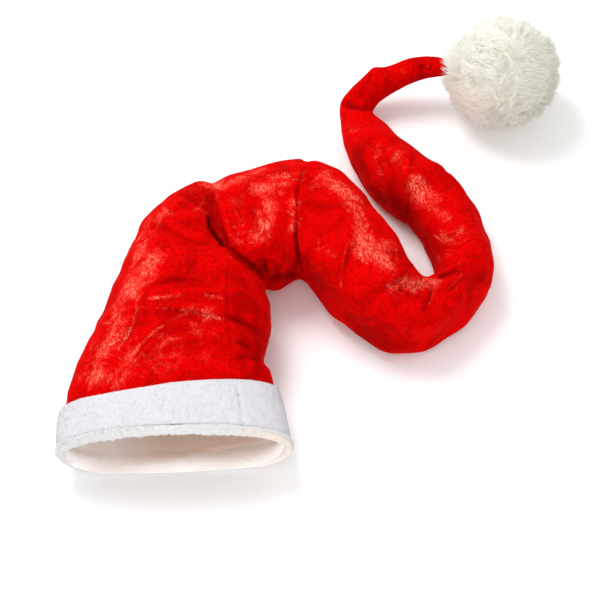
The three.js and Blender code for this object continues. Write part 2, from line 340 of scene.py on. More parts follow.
def new_group(name, inputs, outputs):
    """An empty shader node group with named value inputs and outputs, and a Place input."""
    group = bpy.data.node_groups.new(name, "ShaderNodeTree")
    group.interface.new_socket("Place", in_out="INPUT", socket_type="NodeSocketVector")
    for side, sockets in (("INPUT", inputs), ("OUTPUT", outputs)):
        for socket in sockets:
            group.interface.new_socket(socket, in_out=side, socket_type="NodeSocketFloat")
    return group, add_node(group, "NodeGroupInput").outputs, add_node(group, "NodeGroupOutput")


def put_out(group, result, values):
    for socket, value in values.items():
        group.links.new(value, result.inputs[socket])


def pile_group():
    """Pile brushed up in patches: the patches, the flecks and veins in them, and the pile's height."""
    group, given, result = new_group(
        "brushed_pile", ["Patch Scale", "Fleck Scale", "Lift"], ["Patch", "Fleck", "Vein", "Height"])
    place = given["Place"]
    fleck_scale = given["Fleck Scale"]
    broad = noise(group, place, given["Patch Scale"], detail=6.0, roughness=0.74, distortion=1.4)
    swirl = add_node(group, "ShaderNodeTexNoise", {"Vector": place, "Scale": SWIRLS, "Detail": 1.0})
    drift = change_place(group, "MULTIPLY", swirl.outputs["Color"], SWIRL_REACH)
    drawn = change_place(group, "MULTIPLY", change_place(group, "ADD", place, drift), PILE_STRETCH)
    streaks = noise(group, drawn, times(group, fleck_scale, 0.42), detail=3.0, roughness=0.65, distortion=0.5)
    flecks = noise(group, drawn, fleck_scale, detail=2.0, roughness=0.6, distortion=0.4)
    scratches = ramp(group, off_half(group, streaks), 0.004, 0.024, start=0.85, end=0.0)
    patch = ramp(group, plus(group, broad, times(group, given["Lift"], 0.36)), 0.65, 0.92)
    threads = noise(group, drawn, times(group, fleck_scale, 0.55), detail=2.0, roughness=0.6, distortion=1.0)
    vein = ramp(group, off_half(group, threads), 0.01, 0.05, start=0.9, end=0.0)
    grain = plus(group, times(group, streaks, 0.32), times(group, flecks, 0.68))
    speckles = ramp(group, plus(group, grain, times(group, patch, 0.035)), 0.55, 0.605)
    fleck = combine(group, "MAXIMUM", speckles, scratches)
    put_out(group, result, {"Patch": patch, "Fleck": fleck, "Vein": vein, "Height": grain})
    return group


def mesh_knit_group():
    """Fine knit with small holes: where the holes are, and the knit's height."""
    group, given, result = new_group("mesh_knit", ["Holes"], ["Hole", "Height"])
    wires = {"Vector": given["Place"], "Scale": given["Holes"], "Randomness": 0.35}
    cells = add_node(group, "ShaderNodeTexVoronoi", wires)
    hole = ramp(group, cells.outputs["Distance"], 0.12, 0.42, start=1.0, end=0.0)
    put_out(group, result, {"Hole": hole, "Height": combine(group, "SUBTRACT", 1.0, hole)})
    return group


PILE_GROUP = pile_group()
KNIT_GROUP = mesh_knit_group()


def new_material(name, **shader):
    """A material with a Principled shader whose constants are set by name."""
    material = bpy.data.materials.new(name)
    material.use_nodes = True
    tree = material.node_tree
    surface = tree.nodes["Principled BSDF"]
    for socket, value in shader.items():
        surface.inputs[socket.replace("_", " ")].default_value = value
    place = add_node(tree, "ShaderNodeTexCoord").outputs["Object"]
    return material, tree, surface.inputs, place


def pile_in(tree, place, patch_scale, fleck_scale, lift_and_light=0.0):
    wires = {"Place": place, "Patch Scale": patch_scale, "Fleck Scale": fleck_scale, "Lift": lift_and_light}
    return add_node(tree, "ShaderNodeGroup", wires, node_tree=PILE_GROUP).outputs


def raise_surface(tree, sockets, height, strength, distance):
    bump = add_node(tree, "ShaderNodeBump", {"Height": height, "Strength": strength, "Distance": distance})
    tree.links.new(bump.outputs["Normal"], sockets["Normal"])


def velvet_material():
    """Crushed red velvet: deep red, with orange flecks where the pile is brushed up and painted highlight on
    lit sides and ridges, and with painted shade in creases and on undersides.
    """
    material, tree, sockets, place = new_material(
        "crushed_velvet", Specular_IOR_Level=0.015, Sheen_Weight=0.14, Sheen_Roughness=0.35,
        Sheen_Tint=VELVET_SHEEN)
    lift_and_light = stored(tree, "pile_lift_highlight_and_shade")
    pile = pile_in(tree, place, VELVET_PATCHES, VELVET_FLECKS, lift_and_light)
    cloud = noise(tree, place, 20.0, detail=4.0, roughness=0.6, distortion=1.2)
    # The lift brings painted highlight and painted shade into the velvet's cloudy tone
    shade = plus(tree, cloud, times(tree, lift_and_light, 0.12))
    spots = noise(tree, place, 240.0, detail=4.0, roughness=0.7, distortion=0.6)
    mottle = ramp(tree, spots, 0.4, 0.56, start=0.42, end=1.0)
    bright = times(tree, ramp(tree, shade, 0.26, 0.58), mottle)
    ground = mix_colours(tree, bright, VELVET_DARK, VELVET_BRIGHT)
    crease = stored(tree, "crease")
    shown = times(tree, pile["Patch"], ramp(tree, crease, 0.35, 0.85, start=1.0, end=0.0))
    between_veins = combine(tree, "SUBTRACT", 0.5, times(tree, pile["Vein"], 0.5))
    brushed = mix_colours(tree, times(tree, shown, between_veins), ground, VELVET_HAZE)
    flecks = times(tree, shown, pile["Fleck"])
    warm = mix_colours(tree, times(tree, flecks, flecks), FLECK_ORANGE, FLECK_PALE)
    flecked = mix_colours(tree, times(tree, flecks, 0.95), brushed, warm)
    # Painted shade: creases and deep folds darken towards the crease shade colour
    deep = mix_colours(tree, times(tree, crease, 0.98), flecked, VELVET_CREASE_SHADE)
    tree.links.new(deep, sockets["Base Color"])
    tree.links.new(ramp(tree, flecks, 0.0, 1.0, start=0.85, end=0.5), sockets["Roughness"])
    raise_surface(tree, sockets, pile["Height"], strength=0.3, distance=0.7 * MM)
    return material


def plush_material(name, light, dim, fleck_scale):
    """White short plush with soft patches."""
    material, tree, sockets, place = new_material(
        name, Specular_IOR_Level=0.08, Sheen_Weight=0.05, Sheen_Roughness=0.6, Roughness=0.95)
    pile = pile_in(tree, place, PLUSH_PATCHES, fleck_scale)
    soft = plus(tree, times(tree, pile["Patch"], 0.5), times(tree, pile["Fleck"], 0.5))
    tree.links.new(mix_colours(tree, soft, dim, light), sockets["Base Color"])
    raise_surface(tree, sockets, pile["Height"], strength=0.2, distance=0.6 * MM)
    return material


def knit_material(name, light, dim, hole_colour, holes_per_metre, hole_share, lining_and_shade=None):
    """Cream knit with fine holes, and a second colour where the lining's tone and painted shade show."""
    material, tree, sockets, place = new_material(name, Specular_IOR_Level=0.15, Roughness=0.9)
    wires = {"Place": place, "Holes": holes_per_metre}
    knit = add_node(tree, "ShaderNodeGroup", wires, node_tree=KNIT_GROUP).outputs
    cloud = ramp(tree, noise(tree, place, 18.0, detail=3.0), 0.35, 0.65)
    cloth = mix_colours(tree, cloud, dim, light)
    if lining_and_shade:
        cloth = mix_colours(tree, stored(tree, "lining_and_shade"), cloth, lining_and_shade)
    holes = times(tree, knit["Hole"], hole_share)
    tree.links.new(mix_colours(tree, holes, cloth, hole_colour), sockets["Base Color"])
    raise_surface(tree, sockets, knit["Height"], strength=0.3, distance=0.4 * MM)
    return material


def fur_material(name, root, tip):
    """White fur with a painted glow in place of light going through it: warmer at its roots, with a tone kept
    on each strand.
    """
    material, tree, sockets, place = new_material(
        name, Specular_IOR_Level=0.1, Roughness=0.85, Emission_Strength=0.44)
    patchy = noise(tree, place, 42.0)
    along = plus(tree, stored(tree, "along"), times(tree, patchy, 0.25))
    hair = mix_colours(tree, ramp(tree, along, 0.05, 0.75), root, tip)
    # Painted red reflection of the tail on the pompom, and the worn pink of the hem
    pink_wear_and_reflection = mix_colours(tree, stored(tree, "pink_wear_and_reflection"), hair, FUR_PINK_WEAR_AND_REFLECTION)
    # Painted shade on the pompom's lower right side, with random dimming of single hairs
    tone = mix_colours(tree, stored(tree, "dim"), pink_wear_and_reflection, FUR_DIM_AND_SHADE)
    tree.links.new(tone, sockets["Base Color"])
    # Painted glow: the fur's tone also shines as emission, in place of light scattered through the hairs
    tree.links.new(tone, sockets["Emission Color"])
    return material


# Velvet cone
VOXEL = 4.75 * MM
CLOTH_FRAMES = 20
CLOTH = {"quality": 6, "mass": 0.15, "tension_stiffness": 15, "compression_stiffness": 15,
         "shear_stiffness": 8, "bending_stiffness": 0.005,
         "use_pressure": True, "uniform_pressure_force": 1.6,
         "vertex_group_mass": "hold", "vertex_group_shrink": "spare", "shrink_min": 0.0, "shrink_max": -0.6}
LEAST_SPARE = 0.15
CLOTH_REACH = 7 * MM
CAVITY_GAP = 1.9 * MM
SLEEVE = 18 * MM
BAND_HOLD = 7 * MM
RELAX_ROUNDS = 8
RIM_BACK = 4 * MM
WALL_DEPTH = 0.9 * MM
CLOTH_OVER_HOLLOW = 1.3 * MM
TIP_PULL = 15 * MM
LINING_DEPTH = 2.4 * MM
TIP_START = 82 * MM
TIP_LENGTH = 20 * MM
OUTLINE_REACH = 22 * MM
OUTLINE_FAR = 2.5
OUTLINE_GAIN = 2
CREASE_LEAST = 0.1
FULL_DEPTH = 6.5
FULL_BANK = 2.0
BANK_PLACE = 1.8
BANK_WIDTH = 0.9
# How many half widths a fold reaches, how fast folds and leaning banks fade at their ends, and a bank's form
FOLD_FAR = 4
FOLD_ENDS = 5
LEAN_ENDS = 4
LEAN_PLACE = 1.0
LEAN_WIDTH = 0.8
LEAN_LIFT = 0.35
# How firmly a fold is held while the cloth swells, and how dark its painted shade is
FOLD_HOLD = 1.6
FOLD_FREE = 0.6
FOLD_SHADE = 0.55
# How strongly banks, ridges and bright lines get painted highlight, and how the pile is brushed up in patches
# on the sides that aren't seen
BRUSH_FAR = 2.2
BANK_HIGHLIGHT = 0.5
RIDGE_HIGHLIGHT = 0.7
LINE_HIGHLIGHT = 1.1
UNSEEN_START = 0.6
UNSEEN_GAIN = 1.6
UNSEEN_PATCHES = 10.0
UNSEEN_LIFT = 1.3
UNSEEN_LEAST = -0.4
# Waves of the loose cloth: height in mm, how many in a metre
LOOSE_WAVES = [(1.1, 24.0), (0.6, 52.0)]
# The loose cloth's waves start behind the band and above the floor, and the hollow lies within these places
WAVES_BEHIND = 0.045
WAVES_IN = 0.03
WAVES_ABOVE = 0.02
HOLLOW_RIGHT = 0.14
HOLLOW_BACK = 0.2
HOLLOW_NEAR = 12 * MM

# Where spare cloth gathers: photograph pixel, reach in mm, how much is spare
GATHERS = [
    ((214, 212), 42, 0.7), ((262, 272), 40, 0.8), ((296, 215), 34, 0.5), ((299, 262), 36, 0.7),
    ((424, 288), 52, 1.0), ((450, 270), 34, 0.9), ((406, 205), 30, 0.7), ((412, 172), 30, 0.6),
    ((364, 110), 26, 1.0), ((352, 100), 24, 0.7), ((424, 70), 22, 0.9), ((264, 368), 28, 0.35),
    ((190, 305), 60, 0.35), ((240, 340), 50, 0.3),
]

# Folds of the stuffed cloth: half width, depth, and how far the left and right bank swell, in mm,
# then the photograph pixels that the fold runs through; left is as one walks along it
FOLDS = [
    (6.0, 9.0, 3.0, 2.5, [(204, 183), (211, 202), (216, 219), (221, 235), (227, 249)]),
    (6.0, 8.0, 1.5, 4.0, [(225, 246), (236, 256), (246, 263), (258, 272), (266, 282), (270, 292)]),
    (5.0, 6.0, 2.5, 2.0, [(182, 191), (197, 202), (208, 210), (214, 215)]),
    (4.5, 6.5, 1.0, 2.5, [(211, 212), (208, 221), (210, 230), (217, 238)]),
    (5.0, 3.5, 1.5, 1.5, [(178, 219), (196, 227), (209, 232), (219, 242)]),
    (9.0, -7.0, 0.0, 0.0, [(302, 166), (300, 178), (298, 195), (297, 215), (297, 240), (299, 258),
                           (302, 272)]),
    (8.0, -3.0, 0.0, 0.0, [(311, 182), (306, 200), (305, 225), (307, 250)]),
    (5.0, 5.0, 2.0, 1.5, [(260, 258), (266, 270), (270, 284)]),
    (4.5, 5.5, 2.0, 2.5, [(281, 268), (278, 279), (280, 290)]),
    (8.0, -2.0, 0.0, -1.0, [(300, 238), (312, 257), (328, 279), (345, 290)]),
    (7.0, -5.0, 0.0, 0.0, [(414, 160), (410, 175), (409, 190), (409, 205), (408, 218)]),
    (7.0, -3.0, 0.0, 0.0, [(419, 172), (417, 190), (417, 206)]),
    (4.5, 6.5, 2.0, 2.0, [(339, 103), (357, 107), (373, 111)]),
    (4.0, 4.5, 1.5, 1.5, [(371, 68), (367, 85), (361, 100)]),
    (4.5, 4.0, 1.5, 1.5, [(376, 292), (395, 284), (412, 273)]),
    (4.5, 4.5, 1.5, 1.5, [(390, 295), (405, 288), (418, 278)]),
    (4.0, 4.2, 1.6, 1.6, [(405, 300), (415, 290), (424, 279)]),
    (4.0, 2.2, 1.2, 1.2, [(392, 312), (400, 302), (407, 294)]),
    (3.6, 3.0, 1.4, 1.4, [(412, 306), (420, 292), (428, 278)]),
    (4.5, 3.6, 1.6, 1.2, [(423, 316), (431, 294), (436, 277)]),
    (4.0, 3.6, 1.4, 1.6, [(466, 267), (455, 271), (444, 276), (437, 277)]),
    (4.5, 3.5, 1.5, 1.5, [(446, 291), (456, 285), (465, 276)]),
    (4.5, 2.0, 2.8, 2.2, [(146, 303), (171, 301), (192, 300), (212, 301), (230, 303)]),
    (5.0, 2.2, 3.0, 2.6, [(138, 313), (162, 313), (187, 317), (207, 320), (228, 325)]),
    (4.5, 1.6, 2.4, 2.0, [(150, 285), (172, 283), (196, 286), (222, 289)]),
    (5.0, 1.6, 2.4, 2.2, [(132, 352), (152, 338), (176, 330), (204, 329)]),
    (5.0, 1.4, 2.2, 2.0, [(126, 372), (150, 356), (184, 346), (222, 345)]),
    (4.0, 3.0, 1.2, 1.2, [(423, 61), (422, 70), (420, 80)]),
    (4.5, 1.8, 3.0, 2.4, [(224, 317), (238, 321), (250, 327), (260, 332), (270, 337)]),
    (4.5, 1.8, 3.0, 2.4, [(231, 340), (241, 344), (249, 349), (259, 357)]),
    (4.5, 1.8, 2.4, 2.8, [(231, 359), (246, 357), (259, 361), (268, 366)]),
    (4.0, 2.5, 1.0, 1.0, [(138, 300), (136, 318), (128, 332), (121, 347)]),
    (5.0, 2.5, 1.5, 1.5, [(143, 221), (162, 230), (181, 240), (200, 246)]),
    (5.0, 2.2, 1.0, 1.0, [(156, 243), (178, 243), (198, 249)]),
    (5.0, 2.2, 1.0, 1.0, [(165, 217), (180, 207), (197, 208)]),
    (5.0, 2.0, 1.0, 1.0, [(239, 184), (236, 205), (240, 227)]),
    (4.5, 1.8, 1.0, 1.0, [(254, 183), (251, 210), (257, 238)]),
    (4.0, 3.0, 1.0, 1.5, [(298, 193), (306, 188), (316, 184)]),
    (4.0, 2.0, 1.0, 1.0, [(302, 200), (313, 193), (324, 186)]),
    (5.0, 2.2, 1.6, 0.8, [(359, 236), (351, 251), (345, 263), (341, 276), (342, 292)]),
    (4.0, 1.0, 1.0, 1.0, [(392, 203), (397, 212), (404, 219)]),
]

# Sharper lines pressed in after the swelling, as for the folds
CREASES = [
    (2.2, 0.9, 0.4, 0.7, [(227, 252), (227, 292), (228, 318), (231, 343), (232, 378)]),
    (2.4, 2.2, 1.4, 0.7, [(226, 317), (240, 321), (252, 327), (262, 333)]),
    (2.4, 1.5, 0.9, 0.7, [(233, 341), (243, 345), (251, 350)]),
    (2.4, 1.4, 0.8, 0.8, [(235, 359), (248, 357), (262, 362)]),
    (2.6, 4.4, 1.0, 0.8, [(207, 212), (207, 222), (210, 230), (217, 239), (226, 249)]),
    (2.4, 1.2, 1.9, 0.7, [(140, 308), (162, 309), (187, 312), (207, 315), (226, 319)]),
    (2.4, 1.4, 0.9, 0.6, [(357, 240), (350, 252), (345, 263), (341, 278)]),
    (2.6, 2.6, 1.2, 0.8, [(309, 162), (303, 174), (298, 190), (297, 209), (297, 240)]),
    (2.8, 4.6, 0.8, 0.8, [(297, 222), (297, 240), (299, 256), (302, 276)]),
    (2.6, 2.4, 1.0, 0.6, [(416, 152), (411, 168), (409, 179), (410, 190), (409, 201), (408, 221)]),
    (2.6, 2.0, 0.6, 0.6, [(436, 277), (444, 276), (452, 272), (461, 269)]),
    (2.6, 2.6, 1.2, 0.8, [(192, 190), (199, 197), (205, 205), (211, 216)]),
    (2.6, 1.6, 1.0, 0.8, [(172, 202), (184, 204), (195, 209), (208, 219)]),
    (2.6, 1.6, 0.6, 1.2, [(146, 218), (160, 225), (175, 234), (192, 242), (218, 245)]),
    (2.6, 2.2, 1.2, 1.0, [(207, 181), (213, 200), (219, 220)]),
    (2.8, 4.2, 1.0, 1.0, [(217, 212), (221, 226), (228, 247), (242, 258), (258, 269), (270, 283)]),
    (2.2, 1.7, 0.8, 0.8, [(137, 300), (136, 312), (134, 323), (127, 337), (119, 350)]),
    (2.4, 1.3, 0.4, 1.2, [(130, 365), (136, 355), (144, 345), (159, 328), (174, 320), (187, 316)]),
    (2.4, 1.2, 1.2, 0.5, [(174, 297), (190, 295), (205, 295), (226, 295)]),
    (2.4, 0.6, 1.1, 0.4, [(152, 284), (170, 282), (192, 279), (212, 281)]),
    (2.2, 0.7, 1.4, 1.4, [(388, 289), (397, 282), (405, 273)]),
    (2.2, 0.8, 1.5, 1.5, [(397, 294), (405, 287), (412, 279)]),
    (2.2, 0.8, 1.5, 1.5, [(406, 299), (414, 290), (420, 281)]),
    (2.2, 0.7, 1.5, 1.5, [(415, 304), (421, 293), (426, 282)]),
    (2.2, 0.7, 1.4, 1.4, [(424, 309), (429, 297), (433, 284)]),
    (2.2, 0.6, 1.2, 1.2, [(446, 293), (454, 287), (462, 278)]),
    (2.4, 0.9, 1.2, 1.2, [(376, 158), (384, 174), (391, 194)]),
    (2.4, 0.8, 1.2, 1.2, [(391, 150), (398, 164), (403, 182)]),
    (2.4, 0.8, 1.2, 1.2, [(364, 140), (375, 149), (388, 151)]),
    (2.4, 0.8, 1.3, 1.3, [(440, 240), (452, 236), (463, 228)]),
    (2.4, 3.0, 0.3, 0.3, [(421, 64), (421.5, 67), (422, 71)]),
    (2.4, 2.6, 0.3, 0.3, [(429, 66), (429.5, 69), (430, 72)]),
]

# Where the form is fuller or pinched: photograph pixel, reach and amount in mm
SWELLS = [
    ((343, 99), 12, 6.5), ((374, 71), 9, 5.5), ((372, 109), 8, -4.0), ((434, 170), 15, 5.0),
    ((447, 180), 15, 6.0), ((313, 167), 14, 5.0),
    ((336, 174), 14, 3.0), ((141, 227), 22, 4.0), ((128, 251), 22, 3.5), ((151, 214), 14, 2.5),
    ((473, 315), 18, 3.0), ((420, 349), 16, -2.0), ((268, 371), 6, 3.0), ((434, 74), 7, 2.0),
    ((422, 69), 2.6, -2.6), ((429, 68.5), 2.6, -2.2), ((418, 158), 7, -3.0),
]

# Stretches of the outline that are moved: how far across and down in pixels, photograph pixels of both ends
OUTLINE = [
    (5, 2, [(80, 365), (140, 228)]), (0, 3, [(195, 184), (280, 166)]), (0, -4, [(300, 168), (316, 168)]),
    (-2, 0, [(267, 298), (267, 315)]), (-3, -9, [(277, 287), (300, 277)]), (4, -6, [(312, 289), (350, 327)]),
    (1, -7, [(360, 333), (420, 350)]), (-5, -6, [(450, 336), (481, 304)]), (3, 0, [(487, 266), (487, 282)]),
    (3, -3, [(382, 226), (404, 260)]), (2, -6, [(390, 217), (404, 221)]), (5, -3, [(415, 236), (433, 267)]),
    (0, -4, [(350, 184), (362, 193)]), (2, -1, [(351, 161), (356, 172)]), (-3, -1, [(347, 101), (373, 108)]),
    (-3, 3, [(384, 124), (415, 149)]), (1, -2, [(445, 176), (464, 198)]), (-3, 1, [(474, 210), (482, 222)]),
]

# Banks that lean over their fold: reach and lean in mm, pixels of the fold; the left bank leans
LEANING = [
    (6.0, 3.0, [(309, 163), (303, 174), (298, 190), (297, 209), (297, 238), (299, 256), (302, 274)]),
    (6.0, 4.0, [(270, 292), (266, 282), (258, 272), (246, 263), (236, 256), (225, 246)]),
    (5.0, 3.2, [(416, 153), (411, 168), (409, 179), (410, 190), (409, 201), (408, 220)]),
    (5.0, 3.0, [(217, 238), (210, 230), (208, 221), (211, 212)]),
]

# Where the pile is brushed up, most of it on lit sides and so partly painted highlight: how far, reach in mm,
# photograph pixels
BRUSHED_WITH_HIGHLIGHT = [
    (0.7, 24, [(84, 372), (104, 338), (122, 300), (136, 262), (150, 226)]),
    (1.0, 22, [(128, 290), (140, 278), (152, 262)]), (0.8, 18, [(142, 235), (150, 222), (168, 210)]),
    (0.9, 20, [(96, 375), (104, 350), (116, 325)]), (0.9, 18, [(116, 380), (128, 362)]),
    (0.55, 24, [(160, 345), (190, 330), (220, 330)]), (0.55, 24, [(150, 372), (185, 362), (222, 358)]),
    (0.5, 16, [(170, 297), (205, 296), (225, 298)]),
    (1.0, 15, [(208, 184), (224, 186), (240, 178), (262, 170)]),
    (0.9, 20, [(262, 190), (276, 184), (284, 178)]), (0.8, 20, [(268, 205), (262, 225), (258, 236)]),
    (0.7, 14, [(236, 200), (240, 220), (236, 240)]), (0.8, 8, [(292, 200), (292, 228)]),
    (1.0, 20, [(328, 180), (340, 188), (352, 195)]), (0.8, 16, [(352, 205), (360, 225), (356, 238)]),
    (1.0, 19, [(362, 240), (370, 256), (384, 262)]), (0.8, 14, [(378, 250), (392, 240)]),
    (1.0, 15, [(394, 284), (410, 288), (424, 286), (436, 282)]), (0.5, 16, [(318, 240), (330, 255)]),
    (0.9, 17, [(414, 184), (424, 198), (436, 210), (446, 220)]),
    (0.8, 16, [(440, 236), (452, 240), (462, 232)]),
    (0.7, 14, [(436, 258), (450, 250)]), (0.6, 14, [(376, 150), (380, 170), (384, 190)]),
    (0.7, 12, [(392, 150), (400, 158), (408, 168)]), (0.5, 12, [(350, 125), (358, 140), (366, 155)]),
    (0.4, 7, [(372, 80), (388, 74), (404, 70)]),
]

# Painted highlight along the edges of fine wrinkles, as above
HIGHLIGHT_LINES = [
    (0.9, 2.8, [(138, 307), (160, 308), (187, 311), (207, 316), (228, 320)]),
    (0.8, 3.6, [(148, 299), (170, 296), (190, 294), (210, 296), (226, 298)]),
    (0.9, 2.8, [(122, 368), (130, 358), (140, 345), (152, 333), (166, 323), (180, 316), (187, 313)]),
    (0.8, 2.8, [(137, 300), (136, 312), (132, 326), (126, 338), (118, 350)]),
    (0.6, 3.2, [(150, 279), (163, 280), (176, 282)]), (0.6, 3.6, [(188, 331), (205, 330), (221, 327)]),
    (0.5, 3.6, [(186, 349), (204, 341), (222, 337)]), (0.5, 3.6, [(150, 373), (172, 362), (190, 354)]),
    (0.7, 2.8, [(293, 190), (293, 208), (295, 228)]), (0.6, 2.8, [(307, 163), (303, 172), (301, 182)]),
    (0.7, 2.8, [(348, 242), (344, 257), (341, 273), (341, 287)]),
    (0.6, 2.6, [(437, 287), (433, 295), (429, 304)]),
    (0.6, 2.6, [(462, 274), (458, 280), (452, 286), (446, 289)]),
    (0.5, 2.8, [(147, 220), (160, 227), (176, 236), (196, 243)]),
    (0.5, 2.8, [(170, 199), (184, 203), (197, 211)]), (0.4, 2.8, [(197, 187), (205, 197), (211, 206)]),
]

# Where a fold is so deep that no light comes in, as above
SHADED = [
    (1.0, 5.4, [(208, 218), (209, 226), (212, 232), (217, 239), (223, 246)]),
    (0.7, 3.2, [(234, 253), (241, 258), (250, 263)]), (0.22, 7, [(197, 217), (203, 227), (209, 237)]),
    (0.7, 10, [(274, 277), (284, 276), (294, 275)]), (0.55, 6, [(296, 260), (294, 272)]),
    (0.9, 3.0, [(440, 276), (445, 275.5)]), (0.5, 2.6, [(444, 274), (450, 272), (457, 271.5)]),
]

# Where the pile lies smooth and dark, much of it on undersides and shaded sides and so partly painted shade,
# as above
SMOOTHED_WITH_SHADE = [
    (1.0, 20, [(240, 285), (248, 320), (250, 350), (256, 370)]),
    (0.9, 14, [(255, 264), (270, 268), (286, 262)]),
    (0.7, 14, [(306, 262), (330, 302), (360, 332), (400, 346), (440, 338)]),
    (0.6, 13, [(318, 202), (322, 226)]), (0.5, 12, [(470, 296), (482, 262)]),
    (0.7, 9, [(392, 186), (396, 200)]), (0.6, 20, [(176, 276), (200, 272)]),
    (0.5, 14, [(176, 232), (196, 236)]), (0.7, 10, [(357, 150), (362, 165)]),
    (0.6, 8, [(352, 98), (366, 92)]),
    (0.4, 12, [(152, 318), (176, 322)]), (0.4, 10, [(340, 215), (344, 232)]),
]


def select_faces(piece, chosen):
    """Goes into edit mode with just the faces that chosen marks selected."""
    select_only(piece)
    bpy.ops.object.mode_set(mode="EDIT")
    bpy.ops.mesh.select_mode(type="FACE")
    bpy.ops.mesh.select_all(action="DESELECT")
    leave_edit()
    piece.data.polygons.foreach_set("select", np.asarray(chosen, bool))
    bpy.ops.object.mode_set(mode="EDIT")


def edit_open_edges(piece):
    """Goes into edit mode with a piece's open edges selected."""
    select_only(piece)
    bpy.ops.object.mode_set(mode="EDIT")
    bpy.ops.mesh.select_mode(type="EDGE")
    bpy.ops.mesh.select_all(action="DESELECT")
    bpy.ops.mesh.select_non_manifold(extend=False)


def draw_out_and_close(piece, way):
    """Draws a piece's open edges out and closes them, staying in edit mode."""
    edit_open_edges(piece)
    bpy.ops.mesh.extrude_edges_move(TRANSFORM_OT_translate={"value": tuple(way)})
    bpy.ops.mesh.edge_face_add()


def open_edge_points(piece):
    edit_open_edges(piece)
    leave_edit()
    return np.array([vertex.co for vertex in piece.data.vertices if vertex.select])


def velvet_form():
    """The velvet's outer skin with a closed sleeve before its mouth, its inside wall, and the rim's plane."""
    skin = copy_of_node("velvet_cone", "velvet_skin")
    layers = [surface_tree(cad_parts[node]) for node in ("head_lining", "band_facing")]
    gaps = [min(layer.find_nearest(vertex.co)[3] for layer in layers) for vertex in skin.data.vertices]
    faces = skin.data.polygons
    select_faces(skin, [np.mean([gaps[corner] for corner in face.vertices]) < CAVITY_GAP for face in faces])
    bpy.ops.mesh.separate(type="SELECTED")
    leave_edit()
    wall = [piece for piece in bpy.context.selected_objects if piece != skin][0]
    rim = open_edge_points(skin)
    middle = rim.mean(axis=0)
    ahead = np.linalg.svd(rim - middle)[2][2]
    ahead = ahead if ahead[1] < 0 else -ahead
    draw_out_and_close(skin, ahead * SLEEVE)
    leave_edit()
    add_and_apply(skin, "REMESH", mode="VOXEL", voxel_size=VOXEL)
    add_and_apply(skin, "SMOOTH", factor=0.5, iterations=RELAX_ROUNDS)
    return skin, wall, middle, ahead


def surface_line(tree, pixels):
    """Points on a surface under a smooth line through photograph pixels."""
    pixels = np.array(pixels, float)
    reached = np.concatenate([[0.0], np.cumsum(np.linalg.norm(np.diff(pixels, axis=0), axis=1))])
    places = np.linspace(0.0, reached[-1], max(LINE_LEAST, int(reached[-1])))
    rounding = np.ones(LINE_ROUNDING) / LINE_ROUNDING
    line = []
    for side in range(2):
        track = np.interp(places, reached, pixels[:, side])
        line.append(np.convolve(np.pad(track, LINE_ROUNDING // 2, mode="edge"), rounding, "valid"))
    hits = [tree.ray_cast(*pixel_ray(u, v))[0] for u, v in zip(*line)]
    return np.array([hit for hit in hits if hit is not None])


def near_line(points, line, reach):
    """The points within reach of a line: their numbers, gaps, the nearest line points and the way to them."""
    low = line.min(axis=0) - reach
    high = line.max(axis=0) + reach
    near = np.nonzero(np.all((points > low) & (points < high), axis=1))[0]
    apart = points[near][:, None, :] - line[None, :, :]
    gaps = np.linalg.norm(apart, axis=2)
    best = gaps.argmin(axis=1)
    row = np.arange(len(near))
    return near, gaps[row, best], best, apart[row, best]


def near_pixel(points, tree, pixel, reach):
    """How near points are to the place under a photograph pixel: 1 there, less over a reach in mm."""
    place = tree.ray_cast(*pixel_ray(*pixel))[0]
    if place is None:
        return np.zeros(len(points))
    return np.exp(-(np.linalg.norm(points - np.array(place), axis=1) / (reach * MM)) ** 2)


def beside_line(points, normals, line, reach, ends):
    """The points near a fold's line: numbers, gaps, ways to them, which lie to its left, and how it fades."""
    near, gap, best, apart = near_line(points, line, reach)
    along = np.gradient(line, axis=0)[best]
    left = np.einsum("ij,ij->i", np.cross(along, apart), normals[near]) > 0
    share = best / (len(line) - 1)
    fade = np.clip(ends * share, 0, 1) * np.clip(ends * (1 - share), 0, 1)
    return near, gap, apart, left, fade


def swell_form(skin):
    """Fills the skin out, or pinches it, round single places."""
    tree = surface_tree(skin)
    points = points_of(skin)
    push = np.zeros(len(points))
    for pixel, reach, amount in SWELLS:
        push += amount * MM * near_pixel(points, tree, pixel, reach)
    set_on_floor(skin, points + normals_of(skin) * push[:, None])


def move_outline(skin):
    """Moves the skin's sides level with the floor, so that its outline follows the photograph's."""
    tree = surface_tree(skin)
    points = points_of(skin)
    forward, right, _ = view_axes()
    away = Vector((forward.x, forward.y, 0.0)).normalized()
    shift = np.zeros(points.shape)
    total = np.ones(len(points))
    for across, down, pixels in OUTLINE:
        line = surface_line(tree, pixels)
        if len(line) == 0:
            continue
        near, gap, _, _ = near_line(points, line, OUTLINE_FAR * OUTLINE_REACH)
        weight = np.exp(-(gap / OUTLINE_REACH) ** 2)
        move = np.array(right * (across * PIXEL) - away * (down * FLOOR_PIXEL))
        shift[near] += weight[:, None] * move
        total[near] += weight
    set_points(skin, points + OUTLINE_GAIN * shift / total[:, None])


def clear_of_hollow(points, wall_tree):
    """Keeps the skin's points outside the head hollow, a cloth's thickness off its wall."""
    for index in np.nonzero((points[:, 1] < HOLLOW_BACK) & (points[:, 0] < HOLLOW_RIGHT))[0]:
        place, normal, _, gap = wall_tree.find_nearest(Vector(points[index]))
        outside = (place - Vector(points[index])).dot(normal)
        if gap < HOLLOW_NEAR and outside < CLOTH_OVER_HOLLOW:
            points[index] -= (CLOTH_OVER_HOLLOW - outside) * np.array(normal)
    return points


